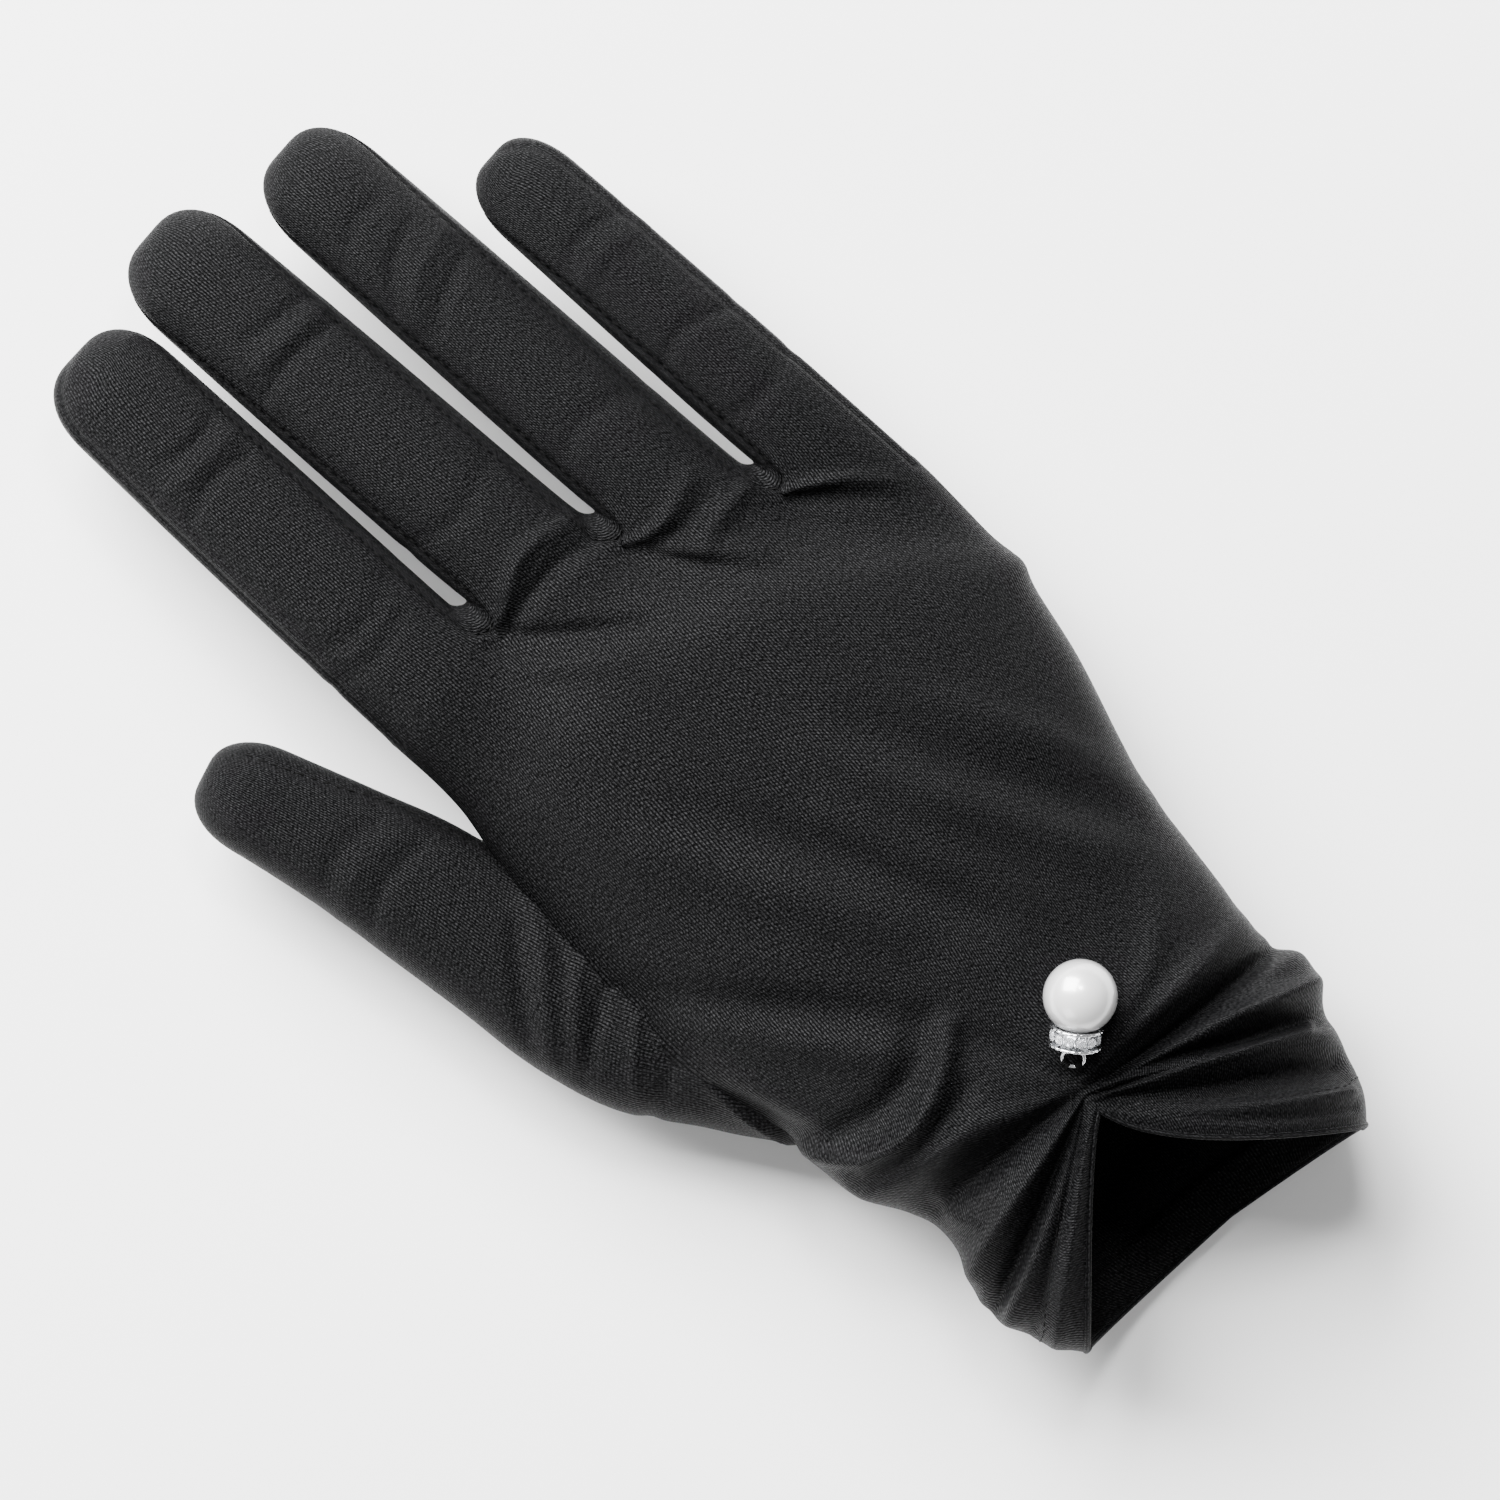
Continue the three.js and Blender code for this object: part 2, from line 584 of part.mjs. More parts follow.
// The bead is drilled from below to just past its middle.
function pearl() {
  const radius = PEARL_DIAMETER / 2;
  const steps = BEAD_SIDES / 2 + 2;
  const low = Math.asin(pinHole / radius);
  const arc = Array.from({ length: steps }, (_, i) => {
    const angle = mix(low, Math.PI, i / (steps - 1));
    return [i === steps - 1 ? 0 : radius * Math.sin(angle), pearlMiddle - radius * Math.cos(angle)];
  });
  const bottom = pearlMiddle + PIN_CLEARANCE;
  return turned([[0, bottom], [pinHole, bottom], ...arc], BEAD_SIDES);
}

const rimRadius = RONDELLE_DIAMETER / 2;
const girdleRadius = rimRadius - 0.3 * STONE_DIAMETER;
const STONE_DEPTH = 0.45 * STONE_DIAMETER;
const coreRadius = girdleRadius - STONE_DEPTH - PIN_CLEARANCE;

const dishRadius = PEARL_DIAMETER / 2 + CHARM_GAP;
const DISH_STEPS = 2;

// Two rims on a drilled core, with the stones in the groove between them. The upper rim
// is dished to the round of the pearl, and the groove's upper wall slopes below the dish.
function rondelle() {
  const high = RONDELLE_HEIGHT;
  const dish = (radius) => pearlMiddle - Math.sqrt(dishRadius ** 2 - radius ** 2);
  const mouth = Math.sqrt(dishRadius ** 2 - (pearlMiddle - high) ** 2);
  const arc = Array.from({ length: DISH_STEPS + 1 }, (_, i) => {
    const radius = mix(mouth, pinHole, i / DISH_STEPS);
    return [radius, dish(radius)];
  });
  return turned(
    [
      [pinHole, 0],
      [rimRadius, 0],
      [rimRadius, RIM_THICKNESS],
      [coreRadius, RIM_THICKNESS],
      [coreRadius, dish(coreRadius) - RIM_THICKNESS],
      [mouth, high - RIM_THICKNESS],
      [rimRadius, high - RIM_THICKNESS],
      [rimRadius, high],
      ...arc,
      [pinHole, 0],
    ],
    RONDELLE_SIDES,
  );
}

// A cut stone with a table, eight crown facets and eight below the girdle.
function stone(n) {
  const girdle = STONE_DIAMETER / 2;
  const cut = new THREE.LatheGeometry(
    [
      [0, -STONE_DEPTH],
      [girdle, 0],
      [0.58 * girdle, 0.42 * girdle],
      [0, 0.42 * girdle],
    ].map(([r, h]) => new THREE.Vector2(r, h)),
    8,
  );
  cut.rotateZ(-Math.PI / 2).translate(girdleRadius, 0, RONDELLE_HEIGHT / 2);
  return solidOf(cut.rotateZ((2 * Math.PI * (n + 0.5)) / STONE_COUNT));
}

// The eye hangs from the foot of the shank, bent down towards the cloth.
const eyeTop = new THREE.Vector3(0, 0, -CHARM_GAP - wireRadius);
const eyeRadius = EYE_DIAMETER / 2 - wireRadius;
const eyeWay = new THREE.Vector3(Math.sin(radians(EYE_BEND)), 0, -Math.cos(radians(EYE_BEND)));

function eyePin() {
  const eye = new THREE.TorusGeometry(eyeRadius, wireRadius, WIRE_SIDES, 16);
  const middle = eyeTop.clone().addScaledVector(eyeWay, eyeRadius);
  eye.rotateY(Math.PI / 2 - radians(EYE_BEND)).translate(...middle);
  const shank = new THREE.CylinderGeometry(wireRadius, wireRadius, pearlMiddle - eyeTop.z, 8);
  shank.rotateX(Math.PI / 2).translate(0, 0, (eyeTop.z + pearlMiddle) / 2);
  return solidOf(eye).add(solidOf(shank));
}

// The thread runs round the eye's far wire and down to the cloth.
function threadLoop() {
  const threadRadius = THREAD_DIAMETER / 2;
  const major = THREAD_LOOP / 2 - threadRadius;
  const loop = new THREE.TorusGeometry(major, threadRadius, WIRE_SIDES, 14);
  const hang = major - threadRadius - CHARM_GAP - wireRadius;
  const farWire = eyeTop.clone().addScaledVector(eyeWay, 2 * eyeRadius);
  return solidOf(loop.rotateX(Math.PI / 2).translate(farWire.x + hang, farWire.y, farWire.z));
}

const charm = new THREE.Group();
charm.rotation.y = Math.PI / 2 - radians(CHARM_TILT);
const placed = new THREE.Group();
placed.rotation.z = radians(CHARM_BEARING);
placed.add(charm);
charm.add(meshOf("pearl_bead", pearl(), nacre));
charm.add(meshOf("rondelle", rondelle(), silver));
charm.add(meshOf("eye_pin", eyePin(), silver));
charm.add(meshOf("sewing_thread", threadLoop(), thread));
for (let n = 0; n < STONE_COUNT; n++) {
  charm.add(meshOf(`stone_${String(n + 1).padStart(2, "0")}`, stone(n), crystal));
}
const reachOfPearl = crossing(CHARM_BEARING).multiplyScalar(pearlMiddle * Math.cos(radians(CHARM_TILT)));
placed.position.set(PEARL_PLACE.x - reachOfPearl.x, PEARL_PLACE.y - reachOfPearl.y, 0);

// The charm lies on the back of the hand: it comes down until one point of it touches.
const backOfHand = meshOf("back_of_hand", outside, cloth);
const ray = new THREE.Raycaster();
const DOWN = new THREE.Vector3(0, 0, -1);
function liftFor(point) {
  ray.set(new THREE.Vector3(point.x, point.y, FAR), DOWN);
  const hits = ray.intersectObject(backOfHand);
  return hits.length ? hits[0].point.z - point.z : -FAR;
}
placed.updateMatrixWorld(true);
const lifts = charm.children.flatMap((piece) => {
  const position = piece.geometry.attributes.position;
  return Array.from({ length: position.count }, (_, i) =>
    liftFor(piece.localToWorld(new THREE.Vector3().fromBufferAttribute(position, i))),
  );
});
placed.position.z = Math.max(...lifts) + SEAM_GAP;
glove.add(placed);

export default glove;
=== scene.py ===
# %% [markdown]
# A wrist length dress glove in black stretch satin, for the right hand, in its worn
# shape. The hem is gathered up at the centre back, and a pearl charm hangs there.
# Each piece of cloth is a surface worked out with numpy, as the real glove is cut:
# a back panel, a palm panel, three strips between the fingers and a thumb.
# All lengths are in millimetres until a mesh is made.

import bmesh
import bpy
import numpy as np
from mathutils import Matrix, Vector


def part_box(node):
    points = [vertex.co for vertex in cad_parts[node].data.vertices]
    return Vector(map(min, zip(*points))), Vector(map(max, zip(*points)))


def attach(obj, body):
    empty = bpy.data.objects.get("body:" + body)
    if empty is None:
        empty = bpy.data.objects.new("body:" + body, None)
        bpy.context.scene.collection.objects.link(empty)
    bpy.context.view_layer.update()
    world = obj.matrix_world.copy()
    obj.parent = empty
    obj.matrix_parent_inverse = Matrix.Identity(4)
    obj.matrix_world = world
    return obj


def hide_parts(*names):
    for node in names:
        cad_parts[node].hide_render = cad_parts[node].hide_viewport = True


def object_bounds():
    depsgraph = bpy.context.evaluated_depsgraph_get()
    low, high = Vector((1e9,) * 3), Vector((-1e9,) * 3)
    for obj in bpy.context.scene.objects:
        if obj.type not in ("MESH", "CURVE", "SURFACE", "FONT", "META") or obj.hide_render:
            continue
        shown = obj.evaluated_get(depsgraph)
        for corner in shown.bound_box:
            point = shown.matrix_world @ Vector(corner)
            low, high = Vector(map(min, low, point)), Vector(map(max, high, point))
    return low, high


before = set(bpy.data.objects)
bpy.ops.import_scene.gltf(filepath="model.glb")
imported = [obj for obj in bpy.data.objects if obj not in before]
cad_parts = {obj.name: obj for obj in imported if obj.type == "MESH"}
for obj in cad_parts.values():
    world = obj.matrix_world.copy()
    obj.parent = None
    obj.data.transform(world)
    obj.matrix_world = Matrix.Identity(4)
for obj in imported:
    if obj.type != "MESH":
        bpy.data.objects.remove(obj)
cad_box = [list(corner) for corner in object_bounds()]
MM = 0.001
low_corner, high_corner = (np.array(corner) / MM for corner in cad_box)
print("Frame:", len(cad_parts), "nodes,", np.round(high_corner - low_corner, 1), "mm")

# %% [markdown]
# The glove lies with its back up and is seen from straight above, turned so that the
# fingers point to the upper left. A long lens from three metres away keeps the
# perspective as flat as in a shop picture. The picture is 240 mm wide at the glove.

# %% The camera
PICTURE_WIDTH = 240.0
PICTURE_MIDDLE = np.array([-0.2, 76.7, 8.0])
CAMERA_DISTANCE = 3000.0
FARTHEST_VIEW = 10000.0
SENSOR = 36.0
PICTURE_UP = np.array([1.0, 1.0, 0.0]) / np.sqrt(2)
PICTURE_RIGHT = np.array([1.0, -1.0, 0.0]) / np.sqrt(2)
SKY = np.array([0.0, 0.0, 1.0])


def placed(columns, place):
    """The 4 x 4 matrix with the given axes as columns and its origin at a place."""
    matrix = np.eye(4)
    matrix[:3, :3] = np.array(columns).T
    matrix[:3, 3] = place * MM
    return [list(row) for row in matrix]


camera_data = bpy.data.cameras.new("camera")
camera_data.sensor_width = SENSOR
camera_data.lens = SENSOR * CAMERA_DISTANCE / PICTURE_WIDTH
camera_data.clip_end = FARTHEST_VIEW * MM
camera = bpy.data.objects.new("camera", camera_data)
camera.matrix_world = Matrix(
    placed([PICTURE_RIGHT, PICTURE_UP, SKY], PICTURE_MIDDLE + CAMERA_DISTANCE * SKY)
)
bpy.context.scene.collection.objects.link(camera)
bpy.context.scene.camera = camera
print("Camera: lens", round(camera_data.lens), "mm")

# %% [markdown]
# A numpy grid of points becomes a mesh with one quad between each four neighbours.
# Grids that share a border repeat the same points there, and merging the doubles sews
# them together. The same step closes a pole, where a whole row is one point.


# %% From grids to meshes
MERGE_DISTANCE = 0.004


def quads(rows, across, first, wrap):
    """Corner numbers of the quads of a grid. wrap joins the last column to the first."""
    number = first + np.arange(rows * across).reshape(rows, across)
    if wrap:
        number = np.hstack([number, number[:, :1]])
    corners = [number[:-1, :-1], number[:-1, 1:], number[1:, 1:], number[1:, :-1]]
    return np.stack(corners, axis=-1).reshape(-1, 4)


def surface(name, grids, uvs=None, keeps=None, wrap=False, flip=False):
    """A smooth mesh object from grids of points in millimetres, merged where they meet.
    keeps marks the points whose faces stay, and flip turns the faces round."""
    starts = np.cumsum([0] + [grid.shape[0] * grid.shape[1] for grid in grids])
    points = np.concatenate([grid.reshape(-1, 3) for grid in grids]) * MM
    faces = [quads(*g.shape[:2], s, wrap) for g, s in zip(grids, starts)]
    faces = np.concatenate(faces)
    if keeps is not None:
        keep = np.concatenate([k.ravel() for k in keeps])
        faces = faces[keep[faces].any(axis=1)]
    if flip:
        faces = faces[:, ::-1]
    mesh = bpy.data.meshes.new(name)
    mesh.from_pydata(points.tolist(), [], faces.tolist())
    if uvs is not None:
        flat = np.concatenate([uv.reshape(-1, 2) for uv in uvs])
        layer = mesh.uv_layers.new(name="cloth")
        layer.data.foreach_set("uv", flat[faces.ravel()].astype(np.float32).ravel())
    body = bmesh.new()
    body.from_mesh(mesh)
    bmesh.ops.remove_doubles(body, verts=body.verts, dist=MERGE_DISTANCE * MM)
    loose = [vert for vert in body.verts if not vert.link_faces]
    bmesh.ops.delete(body, geom=loose, context="VERTS")
    body.to_mesh(mesh)
    body.free()
    mesh.polygons.foreach_set("use_smooth", np.ones(len(mesh.polygons), bool))
    piece = bpy.data.objects.new(name, mesh)
    bpy.context.scene.collection.objects.link(piece)
    print(name, "has", len(mesh.polygons), "faces")
    return piece


def give_wall(piece, thickness):
    """Grows a wall of even thickness behind a piece's surface, closed at its rims."""
    wall = piece.modifiers.new("wall", "SOLIDIFY")
    wall.thickness = thickness * MM
    wall.offset = -1
    wall.use_rim = True


def finish_piece(piece, slot, material, *nodes):
    """Gives a piece its material, lets it ride on the part and stand for CAD nodes."""
    piece.data.materials.append(material)
    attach(piece, "root")
    if nodes:
        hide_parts(*nodes)


# %% [markdown]
# Cloth has no straight lines, so every table of listed values is joined by a
# Catmull-Rom curve, which passes through each of them smoothly.


# %% Curves through tables
TABLE_STEPS = 500


def columns(names, rows):
    """A table as a dictionary with one array of values for each named column."""
    return dict(zip(names.split(), np.array(rows, float).T))


def lerp(start, end, share):
    """The value at a share of the way from start to end."""
    return start + (end - start) * share


def smoothstep(value, low, high):
    """Rises from 0 at low to 1 at high on the curve 3t² - 2t³."""
    share = np.clip((value - low) / (high - low), 0, 1)
    return share * share * (3 - 2 * share)


def spline(values, at):
    """Catmull-Rom curve through the values, read at fractional row numbers."""
    values = np.asarray(values, float)
    last = len(values) - 1
    at = np.clip(np.asarray(at, float), 0, last)
    row = np.minimum(at.astype(int), last - 1)
    share = (at - row).reshape(at.shape + (1,) * (values.ndim - 1))
    before, start, end, after = (values[np.clip(row + k, 0, last)] for k in (-1, 0, 1, 2))
    bend = 2 * before - 5 * start + 4 * end - after
    twist = 3 * (start - end) + after - before
    return start + 0.5 * share * ((end - before) + share * (bend + share * twist))


def read(table, name, by, at):
    """A table's column at given values of another column, along the smooth curve."""
    fine = np.linspace(0, len(table[by]) - 1, TABLE_STEPS)
    return np.interp(at, spline(table[by], fine), spline(table[name], fine))


print("The curve through 0, 2 and 2 at its quarters:", spline([0, 2, 2], np.arange(0, 2.1, 0.5)))

# %% [markdown]
# Three small formulas come back in every piece: a direction of length 1, the length
# along a line of points, and the signed power that squares off an ellipse.


# %% Directions, lengths and powers
def unit(vectors):
    """Vectors divided by their own length."""
    return vectors / np.linalg.norm(vectors, axis=-1, keepdims=True)


def towards(x, y, z):
    """Directions of length 1 from their three components."""
    return unit(np.stack(np.broadcast_arrays(x, y, z), axis=-1))


def lengths(points):
    """Length along a line of points, or along each column of a grid, from its start."""
    steps = np.linalg.norm(np.diff(points, axis=0), axis=-1)
    return np.concatenate([np.zeros((1, *steps.shape[1:])), np.cumsum(steps, axis=0)])


def signed_power(value, power):
    """The value's sign times its size to a power."""
    return np.sign(value) * np.abs(value) ** power


print("A cosine of 0.5 squared off gives", round(signed_power(0.5, 2 / 2.4), 3))


# %% [markdown]
# The hand inside sets the form. Its sections across the palm are superellipses, a
# little squarer than an ellipse, and so are the fingers'. The webs between the fingers
# lie on an arch that drops towards the little finger, and the fingers curl down a bit.

# %% The hand's sizes
PALM_LENGTH = 120.0
PALM_DEPTH = 36.0
WRIST_WIDTH = 72.0
WRIST_DEPTH = 41.0
WRIST_SHIFT = 1.5
KNUCKLE_SHIFT = 5.65
KNUCKLE_RISE = 4.5
KNUCKLE_DROP = 17.0
KNUCKLE_LEVEL = 0.92
CLIMB_START = 0.5
FINGER_GAP = 2.9
FINGER_CURL = 8.0
CURL_POWER = 1.6
CUFF_LENGTH = 33.0
FOLD_DEPTH = 3.2
GATHER_SHIFT = -2.7
SQUARENESS = 2.4
FINGER_SQUARENESS = 2.2
FINGERS = columns(
    "length width depth lean",
    [(79.5, 22, 17, 2.2), (85, 22, 17.5, 4.2), (88, 20.7, 17, 3.7), (78.5, 17.5, 14.5, 3.4)],
)
FINGER_NAMES = ["index", "middle", "ring", "little"]
knuckle_width = FINGERS["width"].sum() + 3 * FINGER_GAP
right_edges = KNUCKLE_SHIFT - knuckle_width / 2 + np.cumsum(FINGERS["width"] + FINGER_GAP)
root_x = right_edges - FINGER_GAP - FINGERS["width"] / 2
web_x = right_edges[:3] - FINGER_GAP / 2


def arch_drop(x):
    """How far the knuckle arch has dropped: a parabola from the index finger's web."""
    return KNUCKLE_DROP * ((x - web_x[0]) / (web_x[2] - web_x[0])) ** 2


root_y = PALM_LENGTH - arch_drop(root_x)
reach = np.max(FINGERS["length"] + root_y - PALM_LENGTH)


def middle_height(y):
    """Height of the hand's middle line: up to the knuckles, then down in the curl."""
    past = np.maximum(0, (y - KNUCKLE_LEVEL * PALM_LENGTH) / reach)
    climb = smoothstep(y, CLIMB_START * PALM_LENGTH, KNUCKLE_LEVEL * PALM_LENGTH)
    return KNUCKLE_RISE * climb - FINGER_CURL * past**CURL_POWER


print("Knuckles", round(knuckle_width, 1), "mm wide, webs at", np.round(web_x, 1))

# %% [markdown]
# The cuff's rows fan out of the gather: each row of the table is a ridge or a valley,
# so the cloth's own grid already runs the way that its folds run. The palm's rows lie
# straight across and bend into the knuckle arch as they come near the fingers.

# %% The sections of cuff and palm
ARCH_START = 0.45
ARCH_END = 0.95
CUFF_FOLDS = columns(
    "middle right left palm wide_right wide_left fold_right fold_left bow_right bow_left",
    [
        (0.09, 1.076, 0.894, 0.94, 0.72, 0.89, 0, 0, 0.62, 1.2),
        (0.07, 0.97, 0.742, 0.85, 0.8, 0.98, 0.5, 0.8, 0.72, 1.1),
        (0.055, 0.833, 0.576, 0.73, 0.855, 1.03, -0.9, 0.1, 0.85, 1.0),
        (0.03, 0.667, 0.424, 0.61, 0.908, 1.07, 1.0, -1.0, 1, 1),
        (0.012, 0.56, 0.303, 0.48, 0.93, 1.04, -0.9, 0, 1, 1),
        (-0.006, 0.424, 0.121, 0.36, 1.014, 0.972, 0.7, 0.9, 1, 1),
        (-0.025, 0.273, -0.03, 0.24, 1.05, 0.958, -1.0, 0, 1, 1),
        (-0.045, 0.136, -0.182, 0.12, 1.0, 1.0, -0.3, -1.0, 1, 1),
        (-0.09, 0, -0.333, -0.03, 0.972, 1.064, 0.8, 0, 1, 1),
        (-0.24, -0.242, -0.515, -0.21, 1.01, 1.12, 0.4, 0.8, 1, 1),
        (-0.515, -0.515, -0.636, -0.48, 1.042, 1.14, 0, 0.2, 1, 1),
    ],
)
PALM_SECTIONS = columns(
    "along wrist left right top bottom",
    [
        (0.235, 1.0, 1.153, 1.083, 1.0, 1.02),
        (0.3, 0.6, 1.135, 1.0, 1.03, 1.1),
        (0.417, 0.3, 1.113, 1.012, 1.06, 1.16),
        (0.54, 0.1, 1.083, 1.013, 1.05, 1.1),
        (0.667, 0, 1.048, 1.02, 1.03, 0.97),
        (0.79, 0, 1.026, 1.02, 0.98, 0.84),
        (0.883, 0, 1.0, 1.0, 0.9, 0.7),
        (0.945, 0, 0.985, 0.985, 0.8, 0.54),
        (1.0, 0, 0.96, 0.96, 0.7, 0.38),
    ],
)


def all_sections():
    """The cuff's rows and then the palm's, as one table of lengths in millimetres."""
    cuff, palm = CUFF_FOLDS, PALM_SECTIONS
    none, full = np.zeros(len(cuff["palm"])), np.ones(len(cuff["palm"]))
    bare, whole = np.zeros(len(palm["along"])), np.ones(len(palm["along"]))
    half = lerp(knuckle_width, WRIST_WIDTH, palm["wrist"]) / 2
    depth = lerp(PALM_DEPTH, WRIST_DEPTH, palm["wrist"]) / 2
    level = palm["along"] * PALM_LENGTH
    wrist_half, wrist_deep = WRIST_WIDTH / 2, WRIST_DEPTH / 2
    parts = {
        "centre": (WRIST_SHIFT * full, lerp(KNUCKLE_SHIFT, WRIST_SHIFT, palm["wrist"])),
        "top": (wrist_deep * full, depth * palm["top"]),
        "bottom": (wrist_deep * full, depth * palm["bottom"]),
        "level_middle": (-CUFF_LENGTH * cuff["middle"], level),
        "level_palm": (-CUFF_LENGTH * cuff["palm"], level),
        "arch": (none, smoothstep(palm["along"], ARCH_START, ARCH_END)),
        "pull": (GATHER_SHIFT * full, bare),
    }
    for side in ("right", "left"):
        parts[f"half_{side}"] = (wrist_half * cuff[f"wide_{side}"], half * palm[side])
        parts[f"level_{side}"] = (-CUFF_LENGTH * cuff[side], level)
        parts[f"fold_{side}"] = (FOLD_DEPTH * cuff[f"fold_{side}"], bare)
        parts[f"bow_{side}"] = (cuff[f"bow_{side}"], whole)
    return {name: np.concatenate(pair) for name, pair in parts.items()}


SECTIONS = all_sections()
LAST_SECTION = len(SECTIONS["top"]) - 1
FIRST_PALM_ROW = len(CUFF_FOLDS["palm"])
print("Sections:", FIRST_PALM_ROW, "of the cuff,", LAST_SECTION + 1 - FIRST_PALM_ROW, "of the palm")

# %% [markdown]
# One function reads the table for any point of the palm and cuff. The folds of the cuff
# are part of its sections, because a worn cuff has no smooth form under its folds.

# %% The form of cuff and palm
FOLD_START = 0.6
FOLD_END = 4


def body(angle, row, side):
    """Points and outward directions of the palm and cuff, for a column's angle and a
    fractional row of SECTIONS. x is the centre plus half the width times |cos|^(2/p)
    and z the depth times |sin|^(2/p). A fold pushes the point out from the centre, and
    the level runs from the middle's to the side's by |x share|^bow. side is 1 on the
    back and -1 on the palm."""
    angle, row = angle[None, :], row[:, None]
    section = {name: spline(values, row) for name, values in SECTIONS.items()}
    cosine, sine = np.cos(angle), np.abs(np.sin(angle))
    power = 2 / SQUARENESS
    across, up = np.abs(cosine) ** power, sine**power
    right = (cosine >= 0) * np.ones_like(row)

    def sided(name):
        return np.where(right > 0, section[name + "_right"], section[name + "_left"])

    half, depth = sided("half"), section["top" if side > 0 else "bottom"]
    dx, dz = np.sign(cosine) * half * across, side * depth * up
    swell = sided("fold") * across**FOLD_START * (1 - across**FOLD_END) * (side > 0)
    push = 1 + swell / np.hypot(dx, dz)
    pull = section["pull"] * (1 - across) ** 2 * (side > 0)
    x = section["centre"] + dx * push + pull
    middle = section["level_middle" if side > 0 else "level_palm"]
    bow = sided("bow") if side > 0 else 1.0
    y = lerp(middle, sided("level"), across**bow) - section["arch"] * arch_drop(x)
    out_x = signed_power(cosine, 2 - power) / half
    out_z = side * sine ** (2 - power) / depth * np.ones_like(half)
    return np.stack([x, y, dz * push], axis=-1), towards(out_x, 0 * out_x, out_z)


mid_palm = body(np.array([np.pi / 2]), np.array([14.0]), 1)[0][0, 0]
print("The middle of the back lies at", np.round(mid_palm, 1))


# %% [markdown]
# A finger's cross-section keeps its form and shrinks towards the tip, where the back
# and the palm side meet in a short seam. Between two fingers the cloth is a strip of
# its own, so the back panel ends at the strip's edge, above the finger's middle.

# %% The fingers
STRIP_HALF = 4.5
STRIP_END = 0.93
TIP_START = 0.86
TIP_FLAT = 0.2
TIP_POWER = 2.3
TIP_FORWARD = 0.06
STRIP_POWER = 3.5
FINGER_EASE = 1.02
WIDTH_TAPER = 0.09
DEPTH_TAPER = 0.22
LEAST_DEPTH = 0.5


def rounding(along, start):
    """1 up to the start of the tip, then down to 0 on a superellipse."""
    share = np.clip((along - start) / (1 - start), 0, 1)
    return (1 - share**TIP_POWER) ** (1 / TIP_POWER)


def finger_halves(number, along):
    """Half the width and half the depth of a finger: both taper with the square of the
    way along it and close at the tip, the width to a short flat end."""
    past = np.maximum(along, 0) ** 2
    close = rounding(along, TIP_START)
    wide = (FINGER_EASE - WIDTH_TAPER * past) * (TIP_FLAT + (1 - TIP_FLAT) * close)
    deep = (FINGER_EASE - DEPTH_TAPER * past) * close
    return FINGERS["width"][number] / 2 * wide, FINGERS["depth"][number] / 2 * deep


def strip_angle(number, along):
    """The angle on a finger's section where the strip's edge lies."""
    share = np.clip(along / STRIP_END, 0, 1)
    high = STRIP_HALF * np.sqrt(1 - share**STRIP_POWER)
    deep = finger_halves(number, np.minimum(along, STRIP_END))[1]
    return np.arcsin(np.clip(high / deep, 0, 1) ** (FINGER_SQUARENESS / 2))


def finger(number, angle, along, side):
    """Points and outward directions of a finger: rings of superellipses round a middle
    line that leans towards the thumb and follows middle_height."""
    lean = np.radians(FINGERS["lean"][number])
    length = FINGERS["length"][number]
    wide, deep = finger_halves(number, along)
    cosine, sine = np.cos(angle), np.abs(np.sin(angle))
    power = 2 / FINGER_SQUARENESS
    off = signed_power(cosine, power) * wide
    middle_y = root_y[number] + np.cos(lean) * along * length
    x = root_x[number] - np.sin(lean) * along * length + np.cos(lean) * off
    y = middle_y + np.sin(lean) * off
    z = middle_height(middle_y) + side * sine**power * deep
    out = signed_power(cosine, 2 - power) / wide
    out_z = side * sine ** (2 - power) / np.maximum(deep, LEAST_DEPTH)
    forward = TIP_FORWARD * (1 - rounding(along, TIP_START)) ** 2
    out_x = out * np.cos(lean) - forward * np.sin(lean)
    out_y = out * np.sin(lean) + forward
    return np.stack([x, y, z], axis=-1), towards(out_x, out_y, out_z)


for number, name in enumerate(FINGER_NAMES):
    tip = finger(number, np.array([np.pi / 2]), np.array([1.0]), 1)[0][0]
    print("Tip of the", name, "finger at", np.round(tip, 1))


# %% [markdown]
# The back panel and the palm panel are cut alike: a palm with four fingers. The grid of
# the palm is made of four strips of columns, one for each finger, and above the webs
# every strip goes its own way. Just above a web the two edges part in a small U.

# %% Rows and columns of the panels
STEP = 0.82
WEB_RADIUS = 3.0
COLUMN_COUNTS = [38, 30, 28, 34]
FINE_ANGLES = 4001
WEB_ROWS = 7
TIP_ROWS = 14


def body_rows():
    """Fractional row numbers, about one STEP apart on the sides of the hand."""
    levels = np.stack([SECTIONS[f"level_{s}"] for s in ("right", "left", "middle")])
    gaps = np.abs(np.diff(levels, axis=1)).max(axis=0)
    counts = np.ceil(gaps / STEP).astype(int)
    rows = [i + np.arange(count) / count for i, count in enumerate(counts)]
    return np.append(np.concatenate(rows), LAST_SECTION)


def body_columns(side):
    """Four lists of angles from the thumb's side to the little finger's, equally far
    apart on the section where the webs are."""
    fine = np.linspace(np.pi, 0, FINE_ANGLES)
    ring = body(fine, np.array([LAST_SECTION]), side)[0][0]
    length = lengths(ring)
    borders = [0, *np.interp(web_x, ring[:, 0], length), length[-1]]
    spans = zip(borders[:-1], borders[1:], COLUMN_COUNTS)
    return [np.interp(np.linspace(a, b, n + 1), length, fine) for a, b, n in spans]


def tip_rows(start):
    """Shares of the way over a rounded tip, closer together towards its end."""
    return start + (1 - start) * np.sin(np.linspace(0, np.pi / 2, TIP_ROWS))


